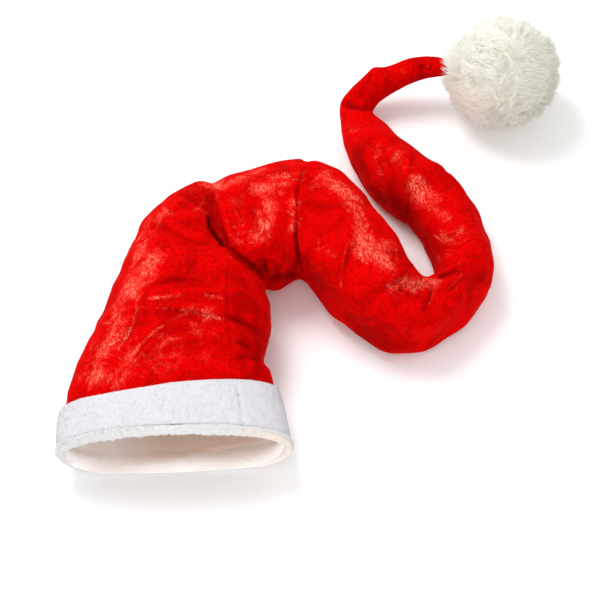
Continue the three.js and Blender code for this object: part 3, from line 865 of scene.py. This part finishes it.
def lean_banks(skin):
    """Draws one bank of a fold over it, as loose cloth lies."""
    tree = surface_tree(skin)
    points = points_of(skin)
    normals = normals_of(skin)
    for reach, lean, pixels in LEANING:
        line = surface_line(tree, pixels)
        near, gap, apart, left, fade = beside_line(points, normals, line, FOLD_FAR * reach * MM, LEAN_ENDS)
        bank = np.exp(-((gap / (reach * MM) - LEAN_PLACE) / LEAN_WIDTH) ** 2)
        weight = np.where(left, fade * bank, 0.0)
        away = apart / np.maximum(gap, 1e-6)[:, None]
        points[near] += (LEAN_LIFT * normals[near] - away) * (lean * MM * weight)[:, None]
    set_on_floor(skin, points)


def press_folds(skin, folds, least=0.0):
    """Presses folds into the skin; gives how deep in a fold and how high on a bank each point is, 0 to 1."""
    tree = surface_tree(skin)
    points = points_of(skin)
    normals = normals_of(skin)
    push = np.zeros(len(points))
    depth_share = np.zeros(len(points))
    bank_share = np.zeros(len(points))
    for half_width, depth, left_bank, right_bank, pixels in folds:
        line = surface_line(tree, pixels)
        if len(line) < 4:
            continue
        near, gap, _, left, fade = beside_line(points, normals, line, FOLD_FAR * half_width * MM, FOLD_ENDS)
        steps = gap / (half_width * MM)
        furrow = fade * np.exp(-steps ** 2)
        bank = fade * np.exp(-((steps - BANK_PLACE) / BANK_WIDTH) ** 2)
        height = np.where(left, left_bank, right_bank)
        push[near] += (height * bank - depth * furrow) * MM
        deep = np.clip(least + depth / FULL_DEPTH, 0, 1)
        depth_share[near] = np.maximum(depth_share[near], deep * furrow)
        bank_share[near] = np.maximum(bank_share[near], np.clip(height / FULL_BANK, 0, 1) * bank)
    set_on_floor(skin, points + normals * push[:, None])
    return depth_share, bank_share


def weigh(piece, name, weights):
    """A vertex group with one weight a vertex."""
    group = piece.vertex_groups.new(name=name)
    for index in np.nonzero(weights > LEAST_WEIGHT)[0]:
        group.add([int(index)], float(weights[index]), "REPLACE")


def settle_cloth(skin, folded):
    """Swells the velvet as stuffed cloth, held under the band and in folds, with spare cloth at the bends."""
    before = points_of(skin)
    tree = surface_tree(skin)
    spare = np.full(len(before), LEAST_SPARE)
    for pixel, reach, amount in GATHERS:
        spare = np.maximum(spare, amount * near_pixel(before, tree, pixel, reach))
    band = surface_tree(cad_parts["plush_band"])
    hold = np.array([1.0 if band.find_nearest(Vector(point))[3] < BAND_HOLD else 0.0 for point in before])
    hold[before[:, 1] < 0.0] = 1.0
    hold = np.maximum(hold, np.clip(FOLD_HOLD * folded - FOLD_FREE, 0, 1))
    weigh(skin, "spare", spare)
    weigh(skin, "hold", hold)
    select_only(skin)
    cloth = skin.modifiers.new("settle", "CLOTH")
    for name, value in CLOTH.items():
        setattr(cloth.settings, name, value)
    cloth.settings.effector_weights.gravity = 0.0
    cloth.collision_settings.use_self_collision = False
    cloth.collision_settings.use_collision = False
    for step in range(1, CLOTH_FRAMES + 1):
        bpy.context.scene.frame_set(step)
    bpy.ops.object.modifier_apply(modifier=cloth.name)
    bpy.context.scene.frame_set(1)
    moved = points_of(skin) - before
    length = np.linalg.norm(moved, axis=1, keepdims=True)
    moved *= np.minimum(1.0, CLOTH_REACH / np.maximum(length, 1e-9))
    set_on_floor(skin, before + moved)


def brushed_pile(skin, strokes):
    """How far strokes reach each point, from 0 to 1: brushed pile, painted highlight and painted shade, as
    each table says.
    """
    tree = surface_tree(skin)
    points = points_of(skin)
    lift_and_light = np.zeros(len(points))
    for amount, reach, pixels in strokes:
        line = surface_line(tree, pixels)
        near, gap, _, _ = near_line(points, line, BRUSH_FAR * reach * MM)
        lift_and_light[near] = np.maximum(lift_and_light[near], amount * np.exp(-(gap / (reach * MM)) ** 2))
    return lift_and_light


def hollow_plug(wall, ahead):
    """The inside wall drawn out ahead of the rim and closed, as a solid to take out of the velvet."""
    draw_out_and_close(wall, ahead * 2 * SLEEVE)
    bpy.ops.mesh.select_all(action="SELECT")
    bpy.ops.mesh.normals_make_consistent(inside=False)
    leave_edit()


def fine_wall(wall):
    """Cuts the inside wall into small faces, so that it can follow the skin's folds."""
    edit_all(wall)
    bpy.ops.mesh.subdivide(number_cuts=3)
    leave_edit()


def open_hollow(skin, wall, middle, ahead):
    """Cuts the sleeve off behind the rim, then takes the head hollow out of the velvet."""
    edit_all(skin)
    bpy.ops.mesh.bisect(plane_co=tuple(middle - ahead * RIM_BACK), plane_no=tuple(ahead),
                        use_fill=True, clear_outer=True)
    leave_edit()
    hollow_plug(wall, ahead)
    add_and_apply(skin, "BOOLEAN", operation="DIFFERENCE", solver="EXACT", object=wall)
    bpy.data.objects.remove(wall)


def carry_values(before, values, piece, name):
    """Stores values known at earlier points on a piece, from the nearest of those points."""
    tree = KDTree(len(before))
    for index, point in enumerate(before):
        tree.insert(point, index)
    tree.balance()
    store_values(piece, name, [values[tree.find(vertex.co)[1]] for vertex in piece.data.vertices])


def taken_values(piece, name):
    """Takes a piece's stored values off it."""
    layer = piece.data.attributes[name]
    values = np.empty(len(layer.data))
    layer.data.foreach_get("value", values)
    piece.data.attributes.remove(layer)
    return values


def stay_under(piece, skin_tree, depth):
    """Moves an inner layer's points inwards where they come nearer than depth below the skin."""
    points = points_of(piece)
    for index, point in enumerate(points):
        place, normal, _, _ = skin_tree.find_nearest(Vector(point))
        below = depth + (Vector(point) - place).dot(normal)
        if below > 0:
            points[index] = point - below * np.array(normal)
    set_points(piece, points)


def loosen(points, normals):
    """Small uneven waves in the cloth behind the band, and the tip drawn into the pompom."""
    behind = np.clip((points[:, 1] - WAVES_BEHIND) / WAVES_IN, 0, 1)
    loose = behind * np.clip(points[:, 2] / WAVES_ABOVE, 0, 1)
    uneven = layered_waves(points, LOOSE_WAVES, SEED)
    points = points + normals * (uneven * loose * MM)[:, None]
    inwards = POM_MIDDLE - points
    apart = np.linalg.norm(inwards, axis=1, keepdims=True)
    return points + inwards / apart * TIP_PULL * np.clip((TIP_START - apart) / TIP_LENGTH, 0, 1)


def pile_lift_highlight_and_shade(skin, banked, ridged):
    """How far the pile is brushed up at each point, with painted highlight on banks, ridges and bright lines,
    and below 0 where it lies smooth, partly as painted shade.
    """
    unseen = np.clip(UNSEEN_START + UNSEEN_GAIN * (normals_of(skin) @ np.array(view_axes()[0])), 0, 1)
    patches = UNSEEN_LIFT * wavy(points_of(skin), UNSEEN_PATCHES, SEED + 2)
    hidden_lift = unseen * np.clip(patches, UNSEEN_LEAST, 1)
    # Painted highlight on banks, ridges and bright lines
    ridge_highlight = np.maximum(BANK_HIGHLIGHT * banked, RIDGE_HIGHLIGHT * ridged)
    ridge_highlight = np.maximum(ridge_highlight, LINE_HIGHLIGHT * brushed_pile(skin, HIGHLIGHT_LINES))
    seen_lift_and_highlight = np.maximum(brushed_pile(skin, BRUSHED_WITH_HIGHLIGHT), ridge_highlight)
    return seen_lift_and_highlight - brushed_pile(skin, SMOOTHED_WITH_SHADE) + hidden_lift


def velvet_piece():
    """The padded velvet cone; gives its surface before the hollow was taken out, and the rim's plane."""
    skin, wall, middle, ahead = velvet_form()
    swell_form(skin)
    folded, banked = press_folds(skin, FOLDS)
    settle_cloth(skin, folded)
    store_values(skin, "crease", folded)
    store_values(skin, "bank", banked)
    round_out(skin, levels=1)
    move_outline(skin)
    creased, ridged = press_folds(skin, CREASES, CREASE_LEAST)
    lean_banks(skin)
    points = clear_of_hollow(loosen(points_of(skin), normals_of(skin)), surface_tree(wall))
    set_points(skin, points)
    folded = taken_values(skin, "crease")
    lift_highlight_and_shade = pile_lift_highlight_and_shade(skin, taken_values(skin, "bank"), ridged)
    shaded = brushed_pile(skin, SHADED)
    skin_tree = surface_tree(skin)
    fine_wall(wall)
    stay_under(wall, skin_tree, WALL_DEPTH)
    open_hollow(skin, wall, middle, ahead)
    # Painted shade in folds, creases and deep pockets, kept for the velvet's colour
    carry_values(points, np.maximum(FOLD_SHADE * folded, np.maximum(creased, shaded)), skin, "crease")
    carry_values(points, lift_highlight_and_shade, skin, "pile_lift_highlight_and_shade")
    finish_piece(skin, velvet_material(), "velvet_cone")
    return skin_tree, middle, ahead


# Strands of pile and fur
STRAND_TURNS = (0.0, 2 * math.pi / 3, 4 * math.pi / 3)
STRAND_FLOOR = 0.2 * MM
SLANTED = np.array([0.37, 0.53, 0.76])
ROOT_DEPTH = 0.3 * MM
PILE_LENGTHS = (0.55, 1.15)
PILE_DIM = 0.6
SOFT_WAVES = 14.0


def scatter(piece, count, seed, keep):
    """Random points on a piece, spread by area over the faces that keep weighs, with their normals."""
    mesh = piece.data
    mesh.calc_loop_triangles()
    corners = np.empty(len(mesh.loop_triangles) * 3, int)
    mesh.loop_triangles.foreach_get("vertices", corners)
    first, second, third = points_of(piece)[corners.reshape(-1, 3)].transpose(1, 0, 2)
    across = np.cross(second - first, third - first)
    area = np.maximum(np.linalg.norm(across, axis=1), 1e-15)
    normals = across / area[:, None]
    weight = area * keep((first + second + third) / 3, normals)
    draw = np.random.default_rng(seed)
    picked = draw.choice(len(area), count, p=weight / weight.sum())
    far = np.sqrt(draw.random(count))[:, None]
    turn = draw.random(count)[:, None]
    places = (1 - far) * first[picked] + far * (1 - turn) * second[picked] + far * turn * third[picked]
    return places, normals[picked], draw


def strand_mesh(name, spines, radii):
    """A piece of thin three-sided strands; each spine's last point is the strand's tip."""
    count, rings = spines.shape[0], spines.shape[1] - 1
    along = unit(spines[:, -1] - spines[:, 0])
    across = unit(np.cross(along, SLANTED))
    other = np.cross(along, across)
    corners = []
    for ring in range(rings):
        for turn in STRAND_TURNS:
            out = math.cos(turn) * across + math.sin(turn) * other
            corners.append(spines[:, ring] + radii[ring] * out)
    corners.append(spines[:, -1])
    points = np.stack(corners, axis=1).reshape(-1, 3)
    points[:, 2] = np.maximum(points[:, 2], STRAND_FLOOR)
    faces = [(2, 1, 0)]
    for ring in range(rings):
        for turn in range(3):
            here, there = 3 * ring + turn, 3 * ring + (turn + 1) % 3
            if ring + 1 < rings:
                faces += [(here, there, there + 3), (here, there + 3, here + 3)]
            else:
                faces.append((here, there, 3 * rings))
    per_strand = 3 * rings + 1
    all_faces = (np.array(faces)[None] + per_strand * np.arange(count)[:, None, None]).reshape(-1, 3)
    mesh = bpy.data.meshes.new(name)
    mesh.vertices.add(len(points))
    mesh.vertices.foreach_set("co", points.ravel())
    mesh.loops.add(all_faces.size)
    mesh.loops.foreach_set("vertex_index", all_faces.ravel())
    mesh.polygons.add(len(all_faces))
    mesh.polygons.foreach_set("loop_start", 3 * np.arange(len(all_faces)))
    mesh.update(calc_edges=True)
    piece = bpy.data.objects.new(name, mesh)
    bpy.context.scene.collection.objects.link(piece)
    return piece


def short_pile(name, carrier, count, seed, keep, length, lean, thickness, material,
               softness=0.7, loose=0.45):
    """Short straight pile standing on a piece, leaning by a given way and shaded partly as the piece is."""
    roots, normals, draw = scatter(carrier, count, seed, keep)
    stray = draw.normal(scale=loose, size=(count, 3))
    way = unit(normals + stray + lean(roots, normals))
    lengths = length(roots) * draw.uniform(*PILE_LENGTHS, count)
    roots = roots - normals * ROOT_DEPTH
    pile = strand_mesh(name, np.stack([roots, roots + way * lengths[:, None]], axis=1), [thickness])
    store_values(pile, "along", np.tile([0.0, 0.0, 0.0, 1.0], count))
    store_values(pile, "dim", np.repeat(draw.uniform(0.0, PILE_DIM, count), 4))
    finish_piece(pile, material)
    soft = unit(softness * np.repeat(normals, 4, axis=0) + (1 - softness) * normals_of(pile))
    pile.data.normals_split_custom_set_from_vertices(soft)
    return pile


def worked_node(node, name, levels, waves):
    """A node's form rounded out, with slight uneven waves (mm) as soft cloth has."""
    piece = copy_of_node(node, name)
    round_out(piece, levels)
    points = points_of(piece)
    uneven = waves * wavy(points, SOFT_WAVES, SEED + 5)
    set_on_floor(piece, points + normals_of(piece) * (uneven * MM)[:, None])
    return piece


# Band, hem, facing and lining
# The band's seam is a fold as on the velvet
BAND_SEAM = [(2.0, 1.5, 0.3, 0.5, [(236, 374), (238, 388), (240, 405), (242, 420), (244, 436)])]
# How far the band's back edge is drawn forward: pixel across the photograph, pixels forward
BAND_BACK = [(58, 10), (66, 8), (80, 5), (100, 6), (120, 5.5), (135, 4.5), (150, 3), (170, 0.5),
             (250, 0.5), (280, 3)]
BAND_STRANDS = 24000
BAND_PILE = 1.7 * MM
BAND_LEAN = np.array([0.0, -0.35, -0.1])
BAND_THICKNESS = 0.22 * MM
BACK_POWER = 1.5
BACK_LOW = 12 * MM
BACK_RISE = 25 * MM
HOLLOW_MIDDLE = np.array([0.0, 0.0, 50 * MM])
HEM_FLAT = 0.42
HEM_TUBE = 11.2 * MM
HEM_FLAT_TOP = 30 * MM
HEM_SLIM = 1.5 * MM
HEM_OUT = 1.0 * MM
# The hem's fringe: how it is spread, leans and clumps, then its lengths in mm
FRINGE_STRANDS = 30000
FRINGE_THICKNESS = 0.42 * MM
FRINGE_LEAST = 0.15
FRINGE_FORWARD = 0.5
FRINGE_CLUMPING = 0.4
FRINGE_CLUMPS = 210.0
FRINGE_SHORT = 2.2
FRINGE_LONGER = 2.6
FRINGE_UNEVEN = 0.45
FRINGE_WAVES = 120.0
# The pile over the joint of band and hem, its lengths in mm
JOINT_STRANDS = 9000
JOINT_THICKNESS = 0.34 * MM
JOINT_FACING = -0.1
JOINT_LEAN = -0.9
JOINT_LONG = 4.6
JOINT_SHORTER = 2.4
JOINT_FRONT = 30 * MM
# Pixels across the photograph at which the hem's pile starts to be worn, and over how many it wears
WORN_FROM = 232
WORN_OVER = 30
WORN_SHARE = 0.55
RIM_HEIGHT = 0.06
LIP_REACH = 7.5 * MM
LIP_LENGTH = 9 * MM
LIP_FLOOR = 0.3 * MM
# How the facing dips behind the lip and rolls over it, in mm, and how much more where the rim is low
LIP_DIP = 2.6
LIP_ROLL = 3.0
LOW_ROLL = 4.5
LOW_REACH = 6 * MM
LOW_TOP = 30 * MM
LOW_RISE = 19 * MM
BEHIND_LENGTH = 6 * MM
BEHIND_REACH = 4 * MM
BEHIND_IN = 1.0 * MM
# Pixels across the photograph between which the facing shows the lining's tone and painted shade of the hat's
# inside, and over how many it fades
INNER_SHADE_FROM = 108
INNER_SHADE_FROM_FADE = 55
INNER_SHADE_TO = 294
INNER_SHADE_TO_FADE = 40
SEAM_BLUR = 4.0
INNER_SHADE_LEAST = 0.62
LIP_CLEAR = 5 * MM
LIP_FADE = 9 * MM
# The seam between the facing and the lining's tone: its form as a fold's, and its photograph pixels
SEAM_FORM = (1.6, 0.7, 0.5, 0.3)
FACING_SEAM = [(103, 465), (130, 464.5), (160, 463), (178, 459), (195, 453), (212, 451), (250, 444),
               (288, 439)]


def from_middle(points, middle, ahead):
    """Unit ways from the middle of the opening, in the rim's plane."""
    away = points - middle
    return unit(away - (away @ ahead)[:, None] * ahead)


def outward(points, normals):
    """Weighs the faces that look away from the head hollow."""
    away = points - HOLLOW_MIDDLE
    away[:, 1] = 0.0
    return (np.einsum("ij,ij->i", away, normals) > 0).astype(float)


def lie_flat(hem):
    """Flattens the hem where it lies on the floor."""
    points = points_of(hem)
    high = points[:, 2]
    share = np.clip((HEM_FLAT_TOP - high) / (HEM_FLAT_TOP - HEM_TUBE), 0, 1)
    points[:, 2] = high - HEM_FLAT * np.minimum(high, HEM_TUBE) * share
    set_points(hem, points)


def slim_hem(hem, middle, ahead):
    """Makes the hem slimmer, drawn up against the band."""
    points = points_of(hem)
    slimmer = points - HEM_SLIM * normals_of(hem)
    set_points(hem, slimmer + HEM_OUT * from_middle(points, middle, ahead) - HEM_SLIM * ahead)


def bare_share(points):
    """How far the hem's pile is worn and shows the cloth, at the right of the opening."""
    return WORN_SHARE * np.clip((seen_at(points)[0] - WORN_FROM) / WORN_OVER, 0, 1)


def draw_back_edge(band, middle, ahead):
    """Draws the band's back edge forward where the photograph shows more velvet."""
    points = points_of(band)
    front = (points - middle) @ ahead
    back = ((front.max() - front) / (front.max() - front.min())) ** BACK_POWER
    upper = np.clip((points[:, 2] - BACK_LOW) / BACK_RISE, 0, 1)
    drawn = np.interp(seen_at(points)[0], *zip(*BAND_BACK)) * upper
    set_points(band, points + (back * drawn * FLOOR_PIXEL)[:, None] * ahead)


def band_piece(middle, ahead):
    """The plush strip round the opening."""
    band = worked_node("plush_band", "band_plush", levels=3, waves=0.5)
    draw_back_edge(band, middle, ahead)
    press_folds(band, BAND_SEAM)
    material = plush_material("white_plush", PLUSH_LIGHT, PLUSH_DIM, PLUSH_FLECKS)
    finish_piece(band, material, "plush_band")
    pile = short_pile("band_pile", band, BAND_STRANDS, SEED + 10, outward, lambda places: BAND_PILE,
                      lambda places, normals: BAND_LEAN, BAND_THICKNESS, material,
                      softness=0.85)


def hem_pieces(middle, ahead):
    """The fluffy roll at the rim."""
    hem = worked_node("rolled_hem", "hem_roll", levels=2, waves=0.4)
    slim_hem(hem, middle, ahead)
    lie_flat(hem)
    cream = fur_material("hem_fur", HEM_ROOT, HEM_TIP)
    store_values(hem, "pink_wear_and_reflection", bare_share(points_of(hem)))
    finish_piece(hem, cream, "rolled_hem")

    def upper_side(places, normals):
        return FRINGE_LEAST + places[:, 2] / RIM_HEIGHT

    def towards_opening(places, normals):
        inwards = -from_middle(places, middle, ahead)
        clumped = FRINGE_CLUMPING * wavy_ways(places, FRINGE_CLUMPS, SEED + 13)
        return inwards + FRINGE_FORWARD * ahead + clumped

    def beside_band(places, normals):
        return outward(places, normals) * (normals @ ahead < JOINT_FACING)

    fringe = short_pile("hem_fringe", hem, FRINGE_STRANDS, SEED + 11, upper_side, hem_length,
                        towards_opening, FRINGE_THICKNESS, cream, softness=0.3, loose=0.32)
    store_values(fringe, "pink_wear_and_reflection", bare_share(points_of(fringe)))
    short_pile("hem_top_pile", hem, JOINT_STRANDS, SEED + 16, beside_band, joint_length,
               lambda places, normals: JOINT_LEAN * ahead, JOINT_THICKNESS, cream, softness=0.6)


def joint_length(places):
    """Pile that hides the joint of band and hem, shorter in front where the joint shows."""
    return (JOINT_LONG - JOINT_SHORTER * np.exp(-(places[:, 0] / JOINT_FRONT) ** 2)) * MM


def hem_length(places):
    """Longer, uneven pile on the upper side of the rim and short pile where it lies on the floor."""
    uneven = 1.0 + FRINGE_UNEVEN * wavy(places, FRINGE_WAVES, SEED + 12)
    long = FRINGE_SHORT + FRINGE_LONGER * np.clip(places[:, 2] / RIM_HEIGHT, 0, 1) * uneven
    return long * (1 - bare_share(places)) * MM


def over_the_lip(facing, middle, ahead):
    """Draws the facing's front edge on over the inner side of the hem."""
    points = points_of(facing)
    front = (points - middle) @ ahead
    share = np.clip((front - front.max() + LIP_LENGTH) / LIP_LENGTH, 0, 1)
    away = from_middle(points, middle, ahead)
    low = np.clip((LOW_TOP - points[:, 2]) / LOW_RISE, 0, 1)
    over = -LIP_DIP * np.sin(math.pi * share ** 0.8) + LIP_ROLL * share ** 4 + LOW_ROLL * low * share
    points += (share * (LIP_REACH + LOW_REACH * low))[:, None] * ahead + (over * MM)[:, None] * away
    points[:, 2] = np.maximum(points[:, 2], LIP_FLOOR)
    behind = np.clip((BEHIND_LENGTH - front + front.min()) / BEHIND_LENGTH, 0, 1)
    points -= behind[:, None] * (BEHIND_REACH * ahead + BEHIND_IN * away)
    set_points(facing, points)


def lining_and_shade_share(facing, middle, ahead):
    """How far each point shows the lining's tone and painted shade of the hat's inside: 0 at the lip and both
    ends, 1 past the inner seam.
    """
    points = points_of(facing)
    across, down = seen_at(points)
    past = np.clip(0.5 + (np.interp(across, *zip(*FACING_SEAM)) - down) / SEAM_BLUR, 0, 1)
    inside = np.clip((across - INNER_SHADE_FROM) / INNER_SHADE_FROM_FADE, 0, 1)
    inside = inside * np.clip((INNER_SHADE_TO - across) / INNER_SHADE_TO_FADE, 0, 1)
    front = (points - middle) @ ahead
    off_lip = np.clip((front.max() - LIP_CLEAR - front) / LIP_FADE, 0, 1)
    return inside * off_lip * (INNER_SHADE_LEAST + (1 - INNER_SHADE_LEAST) * past)


def inside_pieces(skin_tree, middle, ahead):
    """The turned-in strip inside the rim and the thin lining cap."""
    facing = worked_node("band_facing", "facing_strip", levels=3, waves=0.0)
    over_the_lip(facing, middle, ahead)
    press_folds(facing, [(*SEAM_FORM, FACING_SEAM)])
    # Painted shade inside the opening, with the lining's tone past the seam
    store_values(facing, "lining_and_shade", lining_and_shade_share(facing, middle, ahead))
    facing_knit = knit_material("facing_knit", FACING_LIGHT, FACING_DIM, FACING_HOLE, FACING_HOLES, 0.35,
                                FACING_LINING_AND_SHADE)
    finish_piece(facing, facing_knit, "band_facing")
    lining = worked_node("head_lining", "lining_cap", levels=2, waves=0.0)
    stay_under(lining, skin_tree, LINING_DEPTH)
    lining_knit = knit_material("lining_knit", LINING_LIGHT, LINING_DIM, LINING_HOLE, LINING_HOLES, 0.4)
    finish_piece(lining, lining_knit, "head_lining")


# Pompom
POM_CORE = 60 * MM
POM_TIP = 72 * MM
TUFTS = 420
LONG_STRANDS = 16000
FINE_STRANDS = 42000
CORE_FLOOR = 9 * MM
POM_TOP = 146 * MM
POM_SQUASH = 0.05
ROOTS_INSIDE = 1.5 * MM
STANDING_SHARE = 0.3
STANDING_LEAN = 0.35
MOST_DRAWN = 0.45
HAIR_BEND = 3.0 * MM
SOFT_SHARE = 0.68
CORE_LUMPS = [(1.6, 28.0), (1.0, 60.0)]
# How tufts stray, swirl and lie, and their lengths, longer towards the tail
TUFT_STRAY = 0.04
TUFT_SWIRLS = 0.55
SWIRL_STRAY = 0.35
TUFT_LIES = (0.16, 0.4)
TUFT_LENGTHS = (0.92, 1.03)
TAIL_FROM = 0.8
TAIL_FADE = 0.15
TAIL_LONGER = 0.05
# How single hairs differ
FUR_PARTS = 40
HAIR_LEANS = (0.5, 1.2)
HAIR_LENGTHS = (0.93, 1.03)
STANDING_LONGER = 3 * MM
SPIKE_LENGTHS = (2 * MM, 5.5 * MM)
END_STRAY = 1.2 * MM
BEND_STRAY = 0.8 * MM
BEND_PLACE = 0.62
BEND_THICKNESS = 0.9
# The side of the fur with painted red reflection and the side with painted shade, as the photograph is seen
RED_REFLECTION_SIDE = {"across": -0.6, "upwards": -0.75, "gain": 1.2, "start": 0.3, "most": 0.55}
PAINTED_SHADE_SIDE = {"across": 0.75, "upwards": -0.55, "gain": 1.1, "start": 0.25, "most": 0.5}
HAIR_TONES = (0.7, 1.3)
HAIR_DIMS = (-0.1, 0.3)


def even_directions(count):
    """Directions spread evenly over a ball."""
    rank = np.arange(count) + 0.5
    height = 1 - 2 * rank / count
    turn = rank * math.pi * (3 - math.sqrt(5))
    level = np.sqrt(1 - height ** 2)
    return np.stack([level * np.cos(turn), level * np.sin(turn), height], axis=1)


def pompom_core():
    """The lumpy ball of backing under the fur."""
    bpy.ops.object.select_all(action="DESELECT")
    bpy.ops.mesh.primitive_ico_sphere_add(subdivisions=5, radius=POM_CORE, location=tuple(POM_MIDDLE))
    core = bpy.context.active_object
    core.name = "pompom_core"
    bpy.ops.object.transform_apply(location=True)
    points = points_of(core)
    lumps = layered_waves(points, CORE_LUMPS, SEED + 20)
    set_on_floor(core, points + unit(points - POM_MIDDLE) * (lumps * MM)[:, None], CORE_FLOOR)
    return core


def tufts_of_fur(draw):
    """The direction of each tuft from the middle, which way it lies, and how long it is."""
    ways = unit(even_directions(TUFTS) + draw.normal(scale=TUFT_STRAY, size=(TUFTS, 3)))
    swirl = wavy_ways(ways, TUFT_SWIRLS, SEED + 30)
    swirl += draw.normal(scale=SWIRL_STRAY, size=(TUFTS, 3))
    swirl -= np.einsum("ij,ij->i", swirl, ways)[:, None] * ways
    lies = unit(swirl) * draw.uniform(*TUFT_LIES, TUFTS)[:, None]
    towards_tail = np.clip((ways @ -np.array(view_axes()[1]) - TAIL_FROM) / TAIL_FADE, 0, 1)
    lengths = POM_TIP * draw.uniform(*TUFT_LENGTHS, TUFTS) * (1 + TAIL_LONGER * towards_tail)
    return ways, lies, lengths


def side_tone(ways, across, upwards, gain, start, most):
    """A painted tone that grows towards one side of the pompom: its red reflection and its shade."""
    _, right, up = (np.array(axis) for axis in view_axes())
    return np.clip(gain * (ways @ (across * right + upwards * up)) - start, 0, 1) * most


def fur_piece(name, seed, count, rings, thickness, lean_share, material, spikes):
    """A share of the fur: strands from the core, drawn together in tufts that lie in swirls."""
    draw = np.random.default_rng(seed)
    ways, lies, reach = tufts_of_fur(np.random.default_rng(SEED + 29))
    roots_way = unit(draw.normal(size=(count, 3)))
    tuft = np.concatenate([(part @ ways.T).argmax(axis=1) for part in np.array_split(roots_way, FUR_PARTS)])
    roots = POM_MIDDLE + roots_way * (POM_CORE - ROOTS_INSIDE)
    stands = (draw.random(count) < STANDING_SHARE)[:, None]
    lean = np.where(stands, STANDING_LEAN, 1.0) * lies[tuft] * lean_share
    lean = lean * draw.uniform(*HAIR_LEANS, count)[:, None]
    drawn = draw.uniform(0.0, MOST_DRAWN, count)[:, None]
    ends_way = unit(roots_way + drawn * (ways[tuft] - roots_way) + lean)
    length = reach[tuft] * draw.uniform(*HAIR_LENGTHS, count)
    length += stands[:, 0] * draw.uniform(0, STANDING_LONGER, count)
    length += (draw.random(count) < spikes) * draw.uniform(*SPIKE_LENGTHS, count)
    ends = POM_MIDDLE + ends_way * length[:, None] + draw.normal(scale=END_STRAY, size=(count, 3))
    up = np.array(view_axes()[2])
    ends -= POM_SQUASH * ((ends - POM_MIDDLE) @ up)[:, None] * up
    ends[:, 2] = np.minimum(ends[:, 2], POM_TOP)
    bend = unit(roots_way + ends_way) * HAIR_BEND + draw.normal(scale=BEND_STRAY, size=(count, 3))
    bends = (1 - BEND_PLACE) * roots + BEND_PLACE * ends + bend
    spines = [roots, bends, ends] if rings == 2 else [roots, ends]
    fur = strand_mesh(name, np.stack(spines, axis=1), [thickness, BEND_THICKNESS * thickness][:rings])
    along = np.repeat(np.linspace(0.0, 1.0, rings + 1), [3] * rings + [1])
    store_values(fur, "along", np.tile(along, count))
    tone = draw.uniform(*HAIR_TONES, count)
    # Painted red reflection of the tail towards the lower left side
    store_values(fur, "pink_wear_and_reflection", np.repeat(side_tone(roots_way, **RED_REFLECTION_SIDE) * tone, len(along)))
    # Painted shade towards the lower right side, with a random dimming of each hair added
    dim = side_tone(roots_way, **PAINTED_SHADE_SIDE) * tone
    dim = np.clip(dim + draw.uniform(*HAIR_DIMS, count), 0, 1)
    store_values(fur, "dim", np.repeat(dim, len(along)))
    finish_piece(fur, material)
    outwards = SOFT_SHARE * unit(points_of(fur) - POM_MIDDLE) + (1 - SOFT_SHARE) * normals_of(fur)
    fur.data.normals_split_custom_set_from_vertices(unit(outwards))


def pompom_pieces():
    core = pompom_core()
    fur = fur_material("white_fur", FUR_ROOT, FUR_TIP)
    finish_piece(core, fur, "pompom")
    fur_piece("pompom_fur_long", SEED + 40, LONG_STRANDS, rings=2, thickness=0.46 * MM, lean_share=1.0,
              material=fur, spikes=0.12)
    fur_piece("pompom_fur_fine", SEED + 41, FINE_STRANDS, rings=1, thickness=0.32 * MM, lean_share=0.6,
              material=fur, spikes=0.06)


# Studio
FLOOR_SIZE = 30.0
FLOOR_UNDER = -0.0004
SKY_STRENGTH = 0.92


def studio():
    """A pale floor, an even sky, a soft lamp from behind on the left and a weak one from the front."""
    bpy.ops.object.select_all(action="DESELECT")
    bpy.ops.mesh.primitive_plane_add(size=FLOOR_SIZE, location=(0.0, 0.0, FLOOR_UNDER))
    floor = bpy.context.active_object
    floor.name = "studio_floor"
    material, tree, sockets, place = new_material("pale_floor", Roughness=0.9, Specular_IOR_Level=0.05)
    tone = mix_colours(tree, noise(tree, place, 1.5), FLOOR_DIM, FLOOR_LIGHT)
    tree.links.new(tone, sockets["Base Color"])
    floor.data.materials.append(material)
    world = bpy.data.worlds.new("studio_sky")
    bpy.context.scene.world = world
    world.use_nodes = True
    sky = world.node_tree.nodes["Background"].inputs
    sky["Strength"].default_value = SKY_STRENGTH
    sky["Color"].default_value = SKY_WHITE
    soft_lamp("key_lamp", place=(-0.35, 1.0, 1.6), size=0.8, power=21.0)
    soft_lamp("front_lamp", place=(-0.05, -1.1, 0.45), size=0.7, power=5.0)
    bpy.context.scene.view_settings.view_transform = "Standard"


def soft_lamp(name, place, size, power):
    lamp = bpy.data.objects.new(name, bpy.data.lights.new(name, "AREA"))
    lamp.data.size = size
    lamp.data.energy = power
    lamp.location = place
    lamp.rotation_euler = (CAMERA_AIM - lamp.location).to_track_quat("-Z", "Y").to_euler()
    bpy.context.scene.collection.objects.link(lamp)


place_camera()
skin_tree, rim_middle, rim_ahead = velvet_piece()
band_piece(rim_middle, rim_ahead)
hem_pieces(rim_middle, rim_ahead)
inside_pieces(skin_tree, rim_middle, rim_ahead)
pompom_pieces()
studio()
